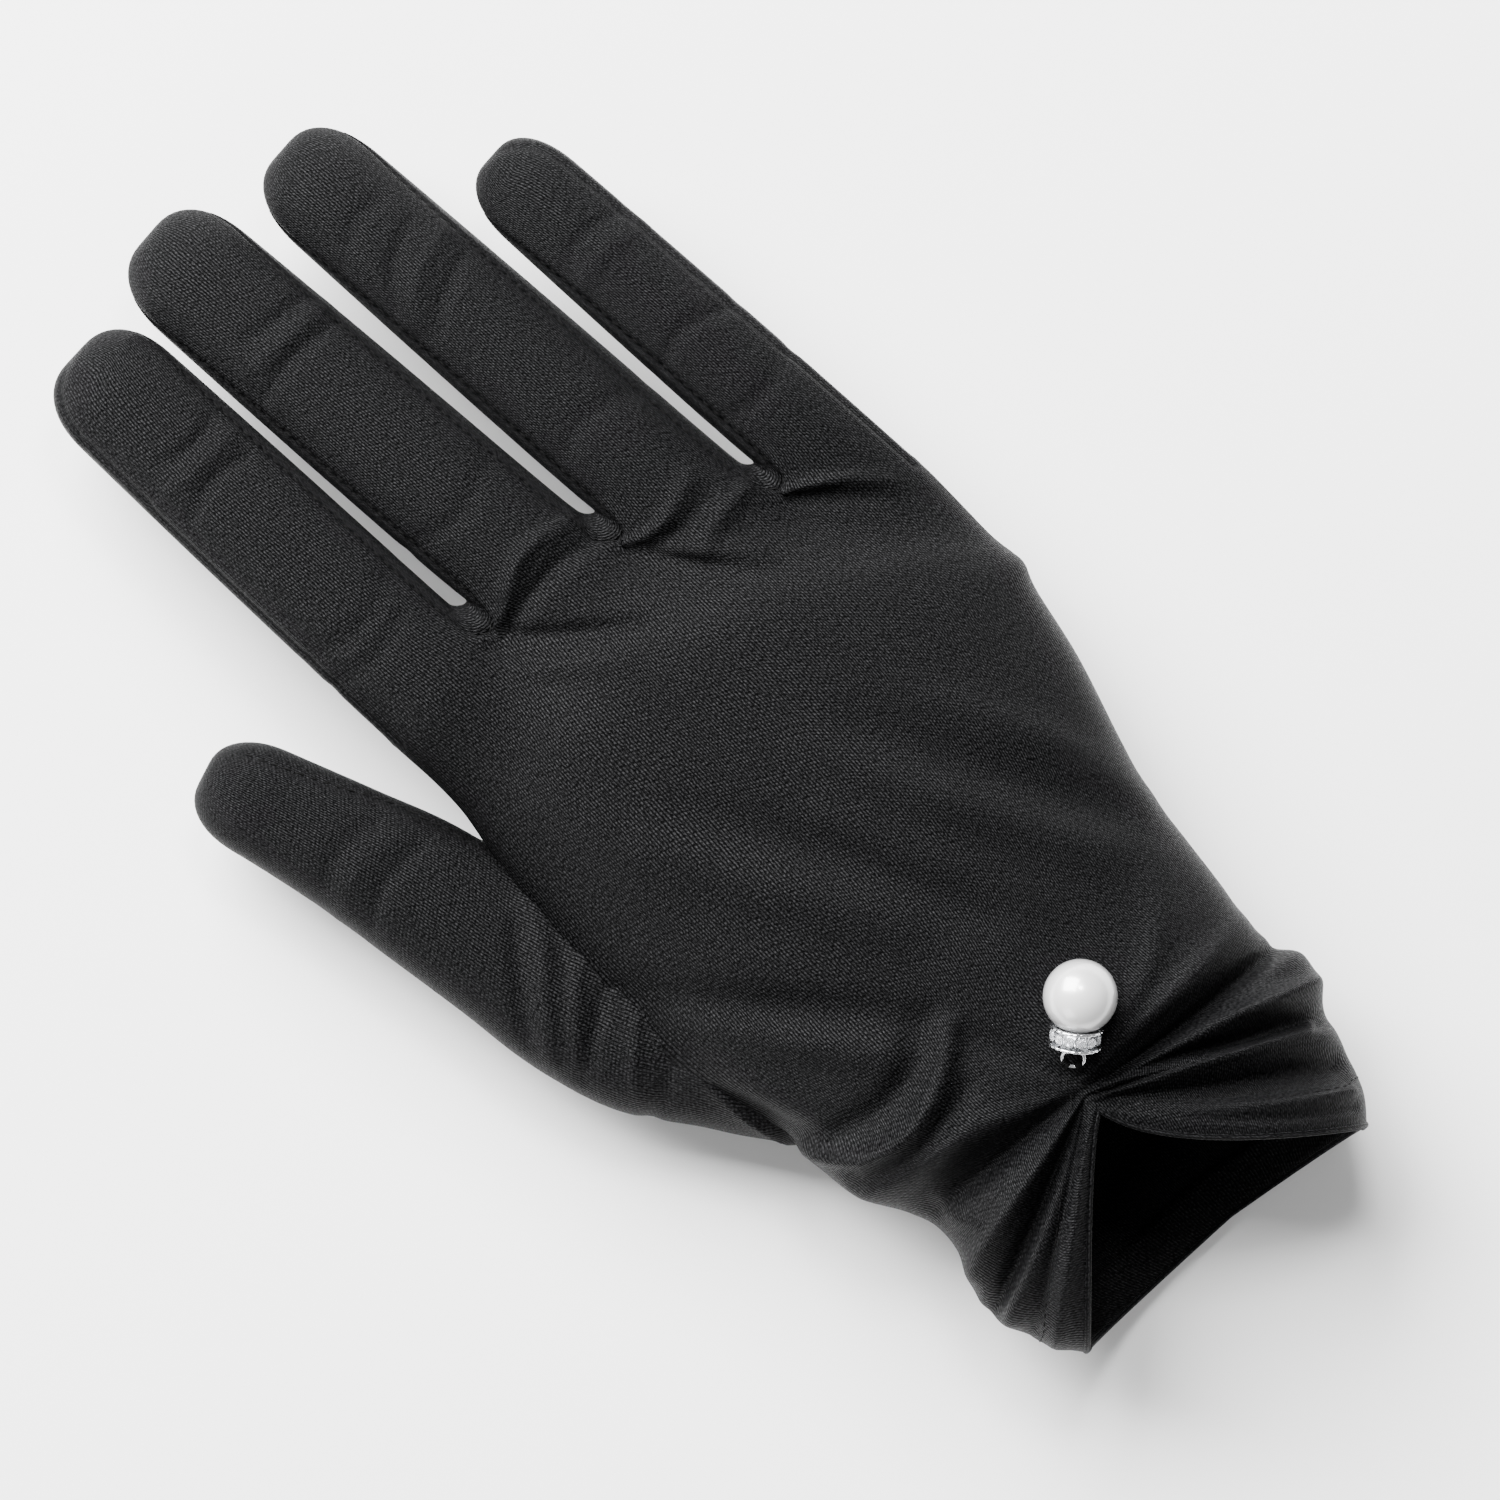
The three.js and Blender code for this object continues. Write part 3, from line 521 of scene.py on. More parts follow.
def finger_rows(number):
    """Shares of the way from the web to the tip: close together round the web's U and
    on the rounded tip, and a STEP apart between them."""
    length = FINGERS["length"][number]
    start = WEB_RADIUS * (1 - np.cos(np.linspace(0, np.pi / 2, WEB_ROWS))) / length
    count = int((TIP_START * length - WEB_RADIUS) / STEP)
    straight = np.linspace(start[-1], TIP_START, count)
    return np.concatenate([start[:-1], straight, tip_rows(TIP_START)[1:]])


ROWS = body_rows()
level_of_row = spline(SECTIONS["level_middle"], ROWS)
print("Panels:", len(ROWS), "rows and", sum(COLUMN_COUNTS), "columns on the palm")

# %% [markdown]
# A web is where the cloth of two fingers meets. Its U is a quarter circle on each side,
# and the cloth beside it is drawn towards it, in a slope that fades into the finger.

# %% The webs
SLOPE_LENGTH = 3 * WEB_RADIUS
SLOPE_START = 6


def web_pull(distance):
    """1 at the web and 0 from WEB_RADIUS above it, on a quarter circle."""
    share = np.clip(1 - distance / WEB_RADIUS, 0, 1)
    return 1 - np.sqrt(1 - share**2)


def web_spread(distance, share):
    """How far a web's pull reaches into a finger: the quarter circle at the edge, and
    a long gentle slope a few columns further in."""
    inner = np.clip(SLOPE_START * share, 0, 1)
    gentle = 1 - smoothstep(distance, 0.0, SLOPE_LENGTH)
    return lerp(web_pull(distance), gentle, inner) * (1 - share) ** 3


def finger_angles(number, along, share):
    """The angle of each column, from a finger's left edge to its right edge."""
    edge = strip_angle(number, along)
    left = np.pi if number == 0 else np.pi - edge
    right = 0.0 if number == 3 else edge
    return lerp(left, right, share)


def shares_across(grid):
    """Shares of the way over a grid's columns, as one row."""
    return np.linspace(0, 1, grid.shape[1])[None, :]


print("A web pulls the edge beside it by", np.round(web_pull(np.arange(4)), 2), "at 0 to 3 mm")


# %% [markdown]
# The palm's columns start as sections of the palm and turn into sections of the fingers
# over the last 26 mm. Below the webs this leaves small hollows, which real cloth would
# span, so the points there are relaxed towards the mean of their neighbours.

# %% From palm to fingers
BLEND_LENGTH = 26.0
BLEND_POWER = 1.5
RELAX_ROUNDS = 14
RELAX_SHARE = 0.9
RELAX_WIDTH = 6.0
RELAX_DEPTH = (-22, -6)
RELAX_END = (0, 5)
blend = smoothstep(level_of_row, PALM_LENGTH - BLEND_LENGTH, PALM_LENGTH) ** BLEND_POWER


def palm_strips(side):
    """The palm's four strips of columns: their points and outward directions, and the
    share of each finger's length where its columns leave the knuckle arch."""
    strips, outs, starts = [], [], []
    for number, angle in enumerate(body_columns(side)):
        point, out = body(angle, ROWS, side)
        length = FINGERS["length"][number]
        start = (PALM_LENGTH - arch_drop(point[-1:, :, 0]) - root_y[number]) / length
        along = start + (level_of_row[:, None] - PALM_LENGTH) / length
        angles = finger_angles(number, along, shares_across(point))
        near, near_out = finger(number, angles, along, side)
        strips.append(lerp(point, near, blend[:, None, None]))
        outs.append(unit(lerp(out, near_out, blend[:, None, None])))
        starts.append(start)
    return strips, outs, starts


def relax(point):
    """Softens the hollows below the webs: each point there moves to the mean of its
    four neighbours, many times over, while the web row itself stays."""
    below = PALM_LENGTH - level_of_row
    near_web = (smoothstep(-below, *RELAX_DEPTH) * smoothstep(below, *RELAX_END))[:, None, None]
    gap = np.abs(point[:, :, :1] - web_x[None, None, :]).min(axis=-1, keepdims=True)
    weight = RELAX_SHARE * near_web * np.exp(-((gap / RELAX_WIDTH) ** 2))
    for _ in range(RELAX_ROUNDS):
        mean = point.copy()
        mean[1:-1, 1:-1] = (
            point[2:, 1:-1] + point[:-2, 1:-1] + point[1:-1, 2:] + point[1:-1, :-2]
        ) / 4
        mean[-1] = point[-1]
        point = lerp(point, mean, weight)
    return point


print("Palm turns into fingers over", BLEND_LENGTH, "mm,", int((blend > 0).sum()), "rows")

# %% [markdown]
# A panel is five grids: the palm's and one for each finger. Where two fingers' edges
# differ at a web, both go to the middle between them, and the columns beside the edge
# follow a little less each, so the panel has no gap and no kink there.


# %% The two panels
def joined(strips):
    """Four strips of columns side by side, with each shared border once."""
    return np.hstack([strip[:, :-1] for strip in strips[:3]] + [strips[3]])


def finger_grid(number, side, start, pulls):
    """A finger's grid from its web to its tip. Each web pulls the edge beside it."""
    along = start + (1 - start) * finger_rows(number)[:, None]
    share = shares_across(start)
    point, out = finger(number, finger_angles(number, along, share), along, side)
    from_web = (along - start) * FINGERS["length"][number]
    left = web_spread(from_web[:, :1], share)
    right = web_spread(from_web[:, -1:], 1 - share)
    point = point + left[..., None] * pulls[0] + right[..., None] * pulls[1]
    return {"point": point, "out": out, "along": along}


def panel(side):
    """The grids of one panel: the palm's, then each finger's. pulls holds how far each
    strip's left and right edges move to the middle line that they share."""
    palm, outs, starts = palm_strips(side)
    pulls = np.zeros((2, 4, len(ROWS), 3))
    meets = [(palm[i][:, -1] + palm[i + 1][:, 0]) / 2 for i in range(3)]
    for i, meet in enumerate(meets):
        pulls[1, i] = meet - palm[i][:, -1]
        pulls[0, i + 1] = meet - palm[i + 1][:, 0]
    for number in range(4):
        share = shares_across(palm[number])[..., None]
        left, right = pulls[:, number, :, None]
        palm[number] = palm[number] + left * (1 - share) ** 3 + right * share**3
    for i, meet in enumerate(meets):
        palm[i][:, -1] = palm[i + 1][:, 0] = meet
        outs[i][:, -1] = outs[i + 1][:, 0] = unit(outs[i][:, -1] + outs[i + 1][:, 0])
    fingers = []
    for number in range(4):
        grid = finger_grid(number, side, starts[number], pulls[:, number, -1])
        grid["point"][0], grid["out"][0] = palm[number][-1], outs[number][-1]
        fingers.append(grid)
    return {"point": relax(joined(palm)), "out": joined(outs)}, fingers


back_palm, back_fingers = panel(1)
under_palm, under_fingers = panel(-1)
print("Back panel:", back_palm["point"].shape, "and", [g["point"].shape for g in back_fingers])

# %% [markdown]
# Between two fingers a narrow strip runs down one finger, round the web and up the
# next. Its edges are the panels' own edges, point for point, so the seam stays shut.

# %% The strips between the fingers
STRIP_COLUMNS = 11
WEB_BULGE = 6.0
WEB_FADE = 8.0


def strip_rows(number):
    """How many rows of a finger's grid the strips beside it take."""
    return int((back_fingers[number]["along"][:, 0] < STRIP_END).sum()) + 1


def strip_side(number, right):
    """One finger's half of a strip, from the web to where it closes to a point: the
    finger's own section between the edges of the two panels."""
    column = -1 if right else 0
    back, under = back_fingers[number], under_fingers[number]
    rows = strip_rows(number)
    along = back["along"][:rows, column][:, None]
    edge = strip_angle(number, along)
    share = np.linspace(0, 1, STRIP_COLUMNS)[None, :]
    turn = lerp(edge, -edge, share)
    angle = turn if right else np.pi - turn
    rise = np.sin(turn)
    point, out = finger(number, angle, along, 1)
    middle = middle_height(point[:, :1, 1])
    top, bottom = back["point"][:rows, column, 2:], under["point"][:rows, column, 2:]
    point[..., 2] = np.where(edge > 0, lerp(top, bottom, share), middle)
    out[..., 2] = np.sign(rise) * np.abs(out[..., 2])
    return point, out, (along[:, 0] - along[0, 0]) * FINGERS["length"][number]


def strip(number):
    """The grid of the strip between a finger and the next."""
    left, left_out, left_far = strip_side(number, True)
    right, right_out, right_far = strip_side(number + 1, False)
    meet = (left[:1] + right[:1]) / 2
    meet[..., 1] = back_fingers[number]["point"][0, -1, 1]
    share = np.linspace(0, 1, STRIP_COLUMNS)
    bulge = WEB_BULGE * 4 * share * (1 - share)
    halves = []
    for side, far in ((left, left_far), (right, right_far)):
        half = side + web_pull(far)[:, None, None] * (meet - side[:1])
        half[..., 1] += bulge * np.exp(-far[:, None] / WEB_FADE)
        halves.append(half)
    outs = [left_out, right_out]
    for half, out, owner, column in zip(halves, outs, (number, number + 1), (-1, 0)):
        rows = len(half)
        for edge, fingers in ((0, back_fingers), (-1, under_fingers)):
            half[:, edge] = fingers[owner]["point"][:rows, column]
            out[:, edge] = fingers[owner]["out"][:rows, column]
    point = np.concatenate([halves[0][::-1], halves[1][1:]])
    return {"point": point, "out": np.concatenate([outs[0][::-1], outs[1][1:]])}


strips = [strip(number) for number in range(3)]
print("Strips:", [grid["point"].shape for grid in strips])

# %% [markdown]
# The thumb is a sleeve of its own, sewn into an opening in the palm. Its rings follow a
# bent middle line, and where it meets the hand both surfaces swell into a soft fillet.

# %% The thumb
THUMB_LENGTH = 122.0
THUMB_WIDTH = 24.0
THUMB_DEPTH = 20.0
THUMB_LEAN = np.radians(20.5)
THUMB_ROOT = np.array([-22.0, 22.0, -7.0])
THUMB_START = 0.02
THUMB_NOSE = 0.2
THUMB_TIP = 0.91
THUMB_COLUMNS = 76
THUMB_LAST = 0.99
FILLET = 1.8
THUMB_SECTIONS = columns(
    "along side wide deep",
    [
        (0, 0, 0.75, 0.95),
        (0.136, 0.037, 0.96, 1.05),
        (0.23, 0.054, 1.04, 1.12),
        (0.33, 0.065, 1.18, 1.14),
        (0.435, 0.065, 1.11, 1.1),
        (0.544, 0.05, 1.0, 1.04),
        (0.675, 0.024, 0.98, 1.0),
        (0.784, 0.013, 0.87, 0.93),
        (0.895, 0.006, 0.78, 0.83),
        (0.956, 0.004, 0.75, 0.79),
        (1.0, 0.002, 0.72, 0.76),
    ],
)
thumb_way = np.array([-np.sin(THUMB_LEAN), np.cos(THUMB_LEAN), 0])
thumb_across = np.array([np.cos(THUMB_LEAN), np.sin(THUMB_LEAN), 0])


def thumb_halves(along):
    """Half the thumb's width and depth, closed at the tip like a finger's. The sleeve
    also narrows to a round nose inside the hand, so its cut edge never shows."""
    close = rounding(along, THUMB_TIP)
    nose = np.clip((THUMB_NOSE - along) / (THUMB_NOSE - THUMB_START), 0, THUMB_LAST)
    nose = (1 - nose**TIP_POWER) ** (1 / TIP_POWER)
    wide = read(THUMB_SECTIONS, "wide", "along", along)
    wide = wide * (TIP_FLAT + (1 - TIP_FLAT) * close) * nose
    deep = read(THUMB_SECTIONS, "deep", "along", along) * close * nose
    return THUMB_WIDTH / 2 * wide, THUMB_DEPTH / 2 * deep


# %% [markdown]
# Where thumb and hand meet, each needs to know how far it is from the other. A
# superellipse has no simple distance formula, but measured along the ray from its
# middle it comes close, and both fillets and the cut opening need no more.


# %% How near thumb and hand are
LEAST_RHO = 0.05


def superellipse_gap(x, z, wide, deep, power):
    """Rough distance from a superellipse, below 0 inside: the way along the ray from
    the middle, r (1 - 1/rho), where rho is the point's size against the outline."""
    rho = ((np.abs(x) / wide) ** power + (np.abs(z) / deep) ** power) ** (1 / power)
    return np.hypot(x, z) * (1 - 1 / np.maximum(rho, LEAST_RHO))


def hand_gap(point):
    """Distance of points from the palm's surface beside the thumb."""
    level = SECTIONS["level_left"][FIRST_PALM_ROW:]
    at = np.interp(point[..., 1], level, np.arange(FIRST_PALM_ROW, LAST_SECTION + 1))
    half = spline(SECTIONS["half_left"], at)
    top, bottom = spline(SECTIONS["top"], at), spline(SECTIONS["bottom"], at)
    deep = np.where(point[..., 2] > 0, top, bottom)
    x = point[..., 0] - spline(SECTIONS["centre"], at)
    beyond = np.maximum(0, level[0] - point[..., 1])
    return superellipse_gap(x, point[..., 2], half, deep, SQUARENESS) + beyond


def thumb_gap(point):
    """Distance of points from the thumb's surface."""
    off = point - THUMB_ROOT
    along = off @ thumb_way / THUMB_LENGTH
    side = read(THUMB_SECTIONS, "side", "along", along) * THUMB_LENGTH
    wide, deep = thumb_halves(np.clip(along, THUMB_START, THUMB_LAST))
    beside = off @ thumb_across + side
    gap = superellipse_gap(beside, off[..., 2], wide, deep, FINGER_SQUARENESS)
    return gap + np.maximum(0, THUMB_START - along) * THUMB_LENGTH


# %% [markdown]
# The sleeve's rings stand square to the bent middle line, so the cloth keeps its width
# round the bend.


# %% The thumb's grid
def thumb_sleeve():
    """The thumb's grid: rings round the middle line, from inside the hand to the tip."""
    count = int(THUMB_LENGTH * (THUMB_TIP - THUMB_START) / STEP)
    along = np.append(np.linspace(THUMB_START, THUMB_TIP, count), tip_rows(THUMB_TIP)[1:])
    side = read(THUMB_SECTIONS, "side", "along", along)
    middle = THUMB_ROOT + np.outer(along, thumb_way) * THUMB_LENGTH
    middle = middle - np.outer(side, thumb_across) * THUMB_LENGTH
    across = np.cross(unit(np.gradient(middle, axis=0)), SKY)[:, None]
    angle = np.linspace(0, 2 * np.pi, THUMB_COLUMNS, endpoint=False)[None, :, None]
    wide, deep = (half[:, None, None] for half in thumb_halves(along))
    power = 2 / FINGER_SQUARENESS
    x, z = signed_power(np.cos(angle), power), signed_power(np.sin(angle), power)
    point = middle[:, None] + x * wide * across + z * deep * SKY
    out = signed_power(x, FINGER_SQUARENESS - 1) / wide * across
    out = out + signed_power(z, FINGER_SQUARENESS - 1) / np.maximum(deep, LEAST_DEPTH) * SKY
    return {"point": point, "out": unit(out)}


def fillet(gap):
    """How far a surface swells near another: FILLET at the touch, fading outside."""
    return FILLET * np.exp(-np.abs(gap) / FILLET)


thumb = thumb_sleeve()
print("Thumb grid", thumb["point"].shape)

# %% [markdown]
# Folds and wrinkles are crests laid over the smooth form. Each is a curved line in the
# plan with a width and a height, above 0 for a ridge and below for a crease, and its
# section is a bell curve. They were placed where stretched cloth draws lines: out of
# the gather, from the knuckles to the wrist, round the webs and in the fingers.

# %% Crest lines
CREST_STEPS = 9
BELL_REACH = 1.8


def to_line(point, way, margin):
    """Distance of points from a line of short runs, and the share of the way along it
    where each is nearest. Points further than the margin get the margin itself."""
    low, high = way.min(axis=0) - margin, way.max(axis=0) + margin
    near = ((point > low) & (point < high)).all(axis=-1)
    gap, along = np.full(near.shape, float(margin)), np.zeros(near.shape)
    if near.any():
        offset = point[near][:, None] - way[:-1]
        run = np.diff(way, axis=0)
        share = np.clip((offset * run).sum(-1) / (run * run).sum(-1), 0, 1)
        gaps = np.linalg.norm(offset - share[..., None] * run, axis=-1)
        best = gaps.argmin(axis=1)
        pick = np.arange(len(best))
        gap[near] = np.minimum(gaps[pick, best], margin)
        along[near] = (best + share[pick, best]) / len(run)
    return gap, along


def crest(plan, heights, widths, line):
    """Height of one fold over the plan: a bell curve of the distance from its line.
    heights holds three values, at the line's start, middle and end, and widths two."""
    way = spline(line, np.linspace(0, len(line) - 1, CREST_STEPS))
    gap, along = to_line(plan, way, BELL_REACH * max(widths))
    wide = lerp(widths[0], widths[1], along)
    bell = np.exp(-2 * (gap / wide) ** 2) - np.exp(-2 * BELL_REACH**2)
    return np.interp(along, [0, 0.5, 1], heights) * np.maximum(bell, 0)


def heights_of(folds, point):
    """The sum of all folds of a list at the plan places of some points."""
    return sum(crest(point[..., :2], *fold) for fold in folds)


plan = np.column_stack([np.arange(4.0), np.zeros(4)])
print("Across a crest:", np.round(crest(plan, (1, 1, 1), (2, 2), [(0, -5), (0, 5)]), 2))

# %% [markdown]
# Each row below is one fold: its heights at the start, middle and end, its widths at
# both ends, and the points that its line passes through.

# %% The folds
GATHER_FOLDS = [
    ((0.2, 1.3, 1.2), (1.5, 6), [(-3, 1.8), (-14, 7), (-26, 11.5), (-37, 14)]),
    ((-0.5, -1.5, -0.6), (0.9, 3.0), [(-2, 0.6), (-12, 1.6), (-22, 2.4), (-31, 3.6)]),
    ((0.3, 0.6, 0.3), (2.4, 2.4), [(-29, 5), (-29.4, 1.5), (-28, -2)]),
    ((0.3, 1.1, 0.8), (0.9, 3.0), [(-3, -0.4), (-14, -2.8), (-26, -5.2), (-34, -7.5)]),
    ((-0.5, -1.3, -1.2), (0.7, 1.9), [(-2, -0.4), (-13, -4.8), (-24, -9.6), (-36, -14)]),
    ((0.3, 0.9, 0.9), (0.8, 2.6), [(-4, -1.6), (-15, -7.5), (-26, -13), (-35, -17.5)]),
    ((-0.3, -0.8, -0.7), (0.6, 1.3), [(-5, -3), (-15, -9.5), (-25, -15.5), (-34, -21)]),
    ((0.4, 0.7, 0.8), (1.0, 2.2), [(-6, -5.2), (-15, -12), (-24, -19), (-33, -26)]),
    ((0.3, 0.8, 0.5), (1.2, 3.4), [(1, 1.6), (12, 1.8), (24, 1.4), (37, 1)]),
    ((-0.5, -1.3, -1.5), (0.7, 2.6), [(2, -0.6), (14, -2.6), (26, -4), (39, -5.5)]),
    ((0.2, 1.0, 1.0), (0.8, 2.6), [(12, -3.2), (22, -6.5), (30, -10.5), (38, -14.5)]),
    ((-0.4, -1.2, -0.9), (0.7, 2.0), [(6, -2.4), (14, -6), (22, -11), (31, -16)]),
    ((0.5, 1.2, 0.9), (0.8, 1.8), [(1.5, -0.8), (10, -5.8), (20, -11.8), (31, -17.5)]),
    ((-0.6, -1.4, -1.0), (0.8, 2.4), [(1.5, -3), (9, -9), (19, -16.5), (31, -25)]),
    ((0.3, 0.5, 0.6), (0.8, 1.6), [(4, -7.5), (12, -15.5), (20, -23), (29, -30)]),
    ((-0.2, -0.5, -0.5), (0.6, 1.2), [(6, -12), (13, -19.5), (20, -26), (28, -32)]),
    ((0.9, 1.5, 1.0), (2.4, 2.8), [(-39, 25), (-33, 18), (-24, 15.6), (-15, 18.5), (-9, 23)]),
    ((-0.6, -1.1, -0.5), (2.4, 2.4), [(-36, 15.5), (-29, 12.8), (-21, 12.2), (-14, 14)]),
    ((-0.5, -0.9, -0.3), (3.0, 3.4), [(-34, 24), (-26, 21.5), (-18, 22.5), (-13, 27)]),
    ((-0.3, -0.6, -0.3), (1.2, 4.5), [(-0.5, 3), (-3.5, 9), (-6, 16), (-11, 26)]),
    ((0.2, 0.6, 0.3), (1.2, 4.5), [(0.8, 2.5), (14, 5), (25, 10), (33, 18)]),
]
BACK_FOLDS = [
    ((0.4, 1.1, 0.5), (5.5, 6), [(-22, 77), (-16, 64), (-10, 52), (-4.5, 40)]),
    ((-0.3, -1.0, -0.5), (5, 5.5), [(-13.6, 77), (-6, 62), (1.8, 46), (7.3, 31)]),
    ((0.3, 1.1, 0.6), (5, 6), [(7.3, 70), (13, 56), (20, 41), (28, 26)]),
    ((-0.3, -0.9, -0.5), (4.5, 4.5), [(15, 68), (22, 53), (28, 40), (34, 28)]),
    ((0.2, 0.8, 0.4), (4.5, 4.5), [(24, 66), (31, 52), (36, 40), (38.5, 27)]),
    ((-0.5, -1.2, -0.6), (5, 5), [(-42, 63), (-32, 51), (-21, 38), (-11, 27)]),
    ((0.3, 0.9, 0.6), (4, 4), [(-38, 53), (-31, 43), (-24, 33), (-20, 27)]),
    ((-0.8, -1.7, -0.8), (3, 3.2), [(-43, 41), (-41, 34), (-38, 27)]),
    ((0.2, 0.5, 0.2), (5, 6), [(2, 60), (5, 48), (12, 36), (17, 24)]),
    ((0.2, 0.5, 0.2), (7, 7), [(-30, 96), (-27, 84), (-26, 72)]),
    ((0.6, 1.3, 0.5), (1.5, 2.0), [(-13, 119.6), (-8, 122.8), (-3, 124.6), (5, 123)]),
    ((-0.5, -1.1, -0.6), (1.8, 2.4), [(-14, 117.6), (-7, 119), (0, 119.4), (6, 118)]),
    ((0.5, 0.9, 0.4), (1.2, 1.8), [(8.8, 114.6), (12.5, 112.6), (17, 112.4), (24, 114.5)]),
    ((-0.3, -0.7, -0.3), (1.6, 2.0), [(10, 111.8), (14, 109.6), (19, 109.4), (24, 110.6)]),
    ((0.3, 0.8, 0.4), (1.6, 2.4), [(17, 104.5), (23, 106.2), (30, 106.8)]),
    ((0.6, 1.1, 0.5), (1.2, 2.2), [(32.3, 103.2), (36, 100.4), (41, 96.5), (46, 91)]),
    ((-0.5, -0.9, -0.4), (1.6, 2.6), [(34, 99.6), (38, 96), (43, 91)]),
    ((-0.5, -1.2, -0.4), (1.6, 2.4), [(-15, 117), (-9, 111.5), (-3, 106.5), (3, 102)]),
    ((0.3, 0.6, 0.3), (2, 3), [(-17.5, 112), (-11, 106.5), (-5, 101)]),
    ((-0.5, -1.0, -0.3), (1.4, 2.4), [(10, 110.5), (14, 104.5), (18, 99.5), (23, 93.5)]),
    ((0.3, 0.5, 0.2), (1.6, 2.6), [(13, 110), (18, 103.5), (24, 97.5)]),
]
FINGER_FOLDS = [
    ((-0.3, -0.7, -0.5), (1.3, 1.5), [(-37.5, 166), (-31, 168), (-24, 167)]),
    ((-0.2, -0.8, -0.4), (1.4, 1.6), [(-35, 176), (-29, 174.2), (-23, 175.4)]),
    ((0.3, 0.6, 0.4), (1.6, 1.8), [(-37, 171.5), (-31, 171.2), (-23.5, 171)]),
    ((-0.2, -0.4, -0.2), (2, 2.4), [(-39, 137), (-31, 134.5), (-21, 137)]),
    ((-0.2, -0.4, -0.3), (1.8, 2), [(-40, 131), (-32, 129.5), (-24, 131.5)]),
    ((-0.4, -0.8, -0.3), (1.4, 1.5), [(-15.5, 171.4), (-8, 172.8), (1, 172)]),
    ((-0.2, -0.7, -0.4), (1.3, 1.5), [(-12, 180.4), (-5, 179), (0.5, 178.6)]),
    ((0.3, 0.6, 0.4), (1.7, 1.8), [(-14, 176), (-7, 175.8), (1, 175.2)]),
    ((-0.2, -0.4, -0.2), (2, 2.3), [(-16, 138), (-7, 136), (3, 138.5)]),
    ((-0.4, -0.8, -0.3), (1.3, 1.6), [(9, 166), (14, 172), (21, 175)]),
    ((-0.3, -0.7, -0.3), (1.3, 1.6), [(11.5, 159), (17, 163), (23.5, 165)]),
    ((0.3, 0.6, 0.3), (1.6, 1.8), [(10, 162.6), (15.5, 167.6), (23, 170)]),
    ((-0.2, -0.5, -0.4), (1.4, 1.6), [(9.5, 178), (14, 181), (20, 181.4)]),
    ((-0.2, -0.4, -0.2), (2, 2.4), [(12, 131), (19, 133), (28, 130)]),
    ((-0.2, -0.5, -0.3), (1.4, 1.6), [(33.5, 152), (39, 154), (46, 152.5)]),
    ((-0.2, -0.5, -0.3), (1.5, 1.7), [(33, 130), (40, 132), (48, 129)]),
    ((0.2, 0.4, 0.2), (1.6, 1.8), [(33.4, 148), (39, 149.6), (46.5, 148.4)]),
    ((-0.2, -0.4, -0.3), (1.8, 2), [(34, 117), (41, 115.5), (49, 117.5)]),
]
THUMB_FOLDS = [
    ((0.4, 1.0, 0.8), (2.2, 2.6), [(-58, 64), (-52, 71), (-46, 78), (-43, 84)]),
    ((-0.4, -0.9, -0.7), (1.8, 2.0), [(-58.5, 69), (-53, 76), (-47, 83)]),
    ((0.4, 0.9, 0.8), (1.8, 2.0), [(-55, 61), (-49.5, 67), (-43.6, 72)]),
    ((-0.4, -0.8, -0.7), (1.5, 1.7), [(-56.5, 58.4), (-50, 62), (-44, 66)]),
    ((0.3, 0.8, 0.5), (1.8, 2.0), [(-52, 51), (-48, 55), (-44, 59)]),
    ((-0.4, -0.7, -0.4), (2.0, 2.2), [(-55, 46), (-49, 47), (-44, 51)]),
    ((-0.2, -0.5, -0.3), (1.6, 1.8), [(-64, 99), (-57, 103), (-48, 103)]),
    ((-0.2, -0.4, -0.2), (1.6, 1.8), [(-65.5, 109), (-58, 112), (-50, 111)]),
    ((0.2, 0.4, 0.2), (2, 2.2), [(-65, 104.5), (-58, 107.5), (-49, 107)]),
]
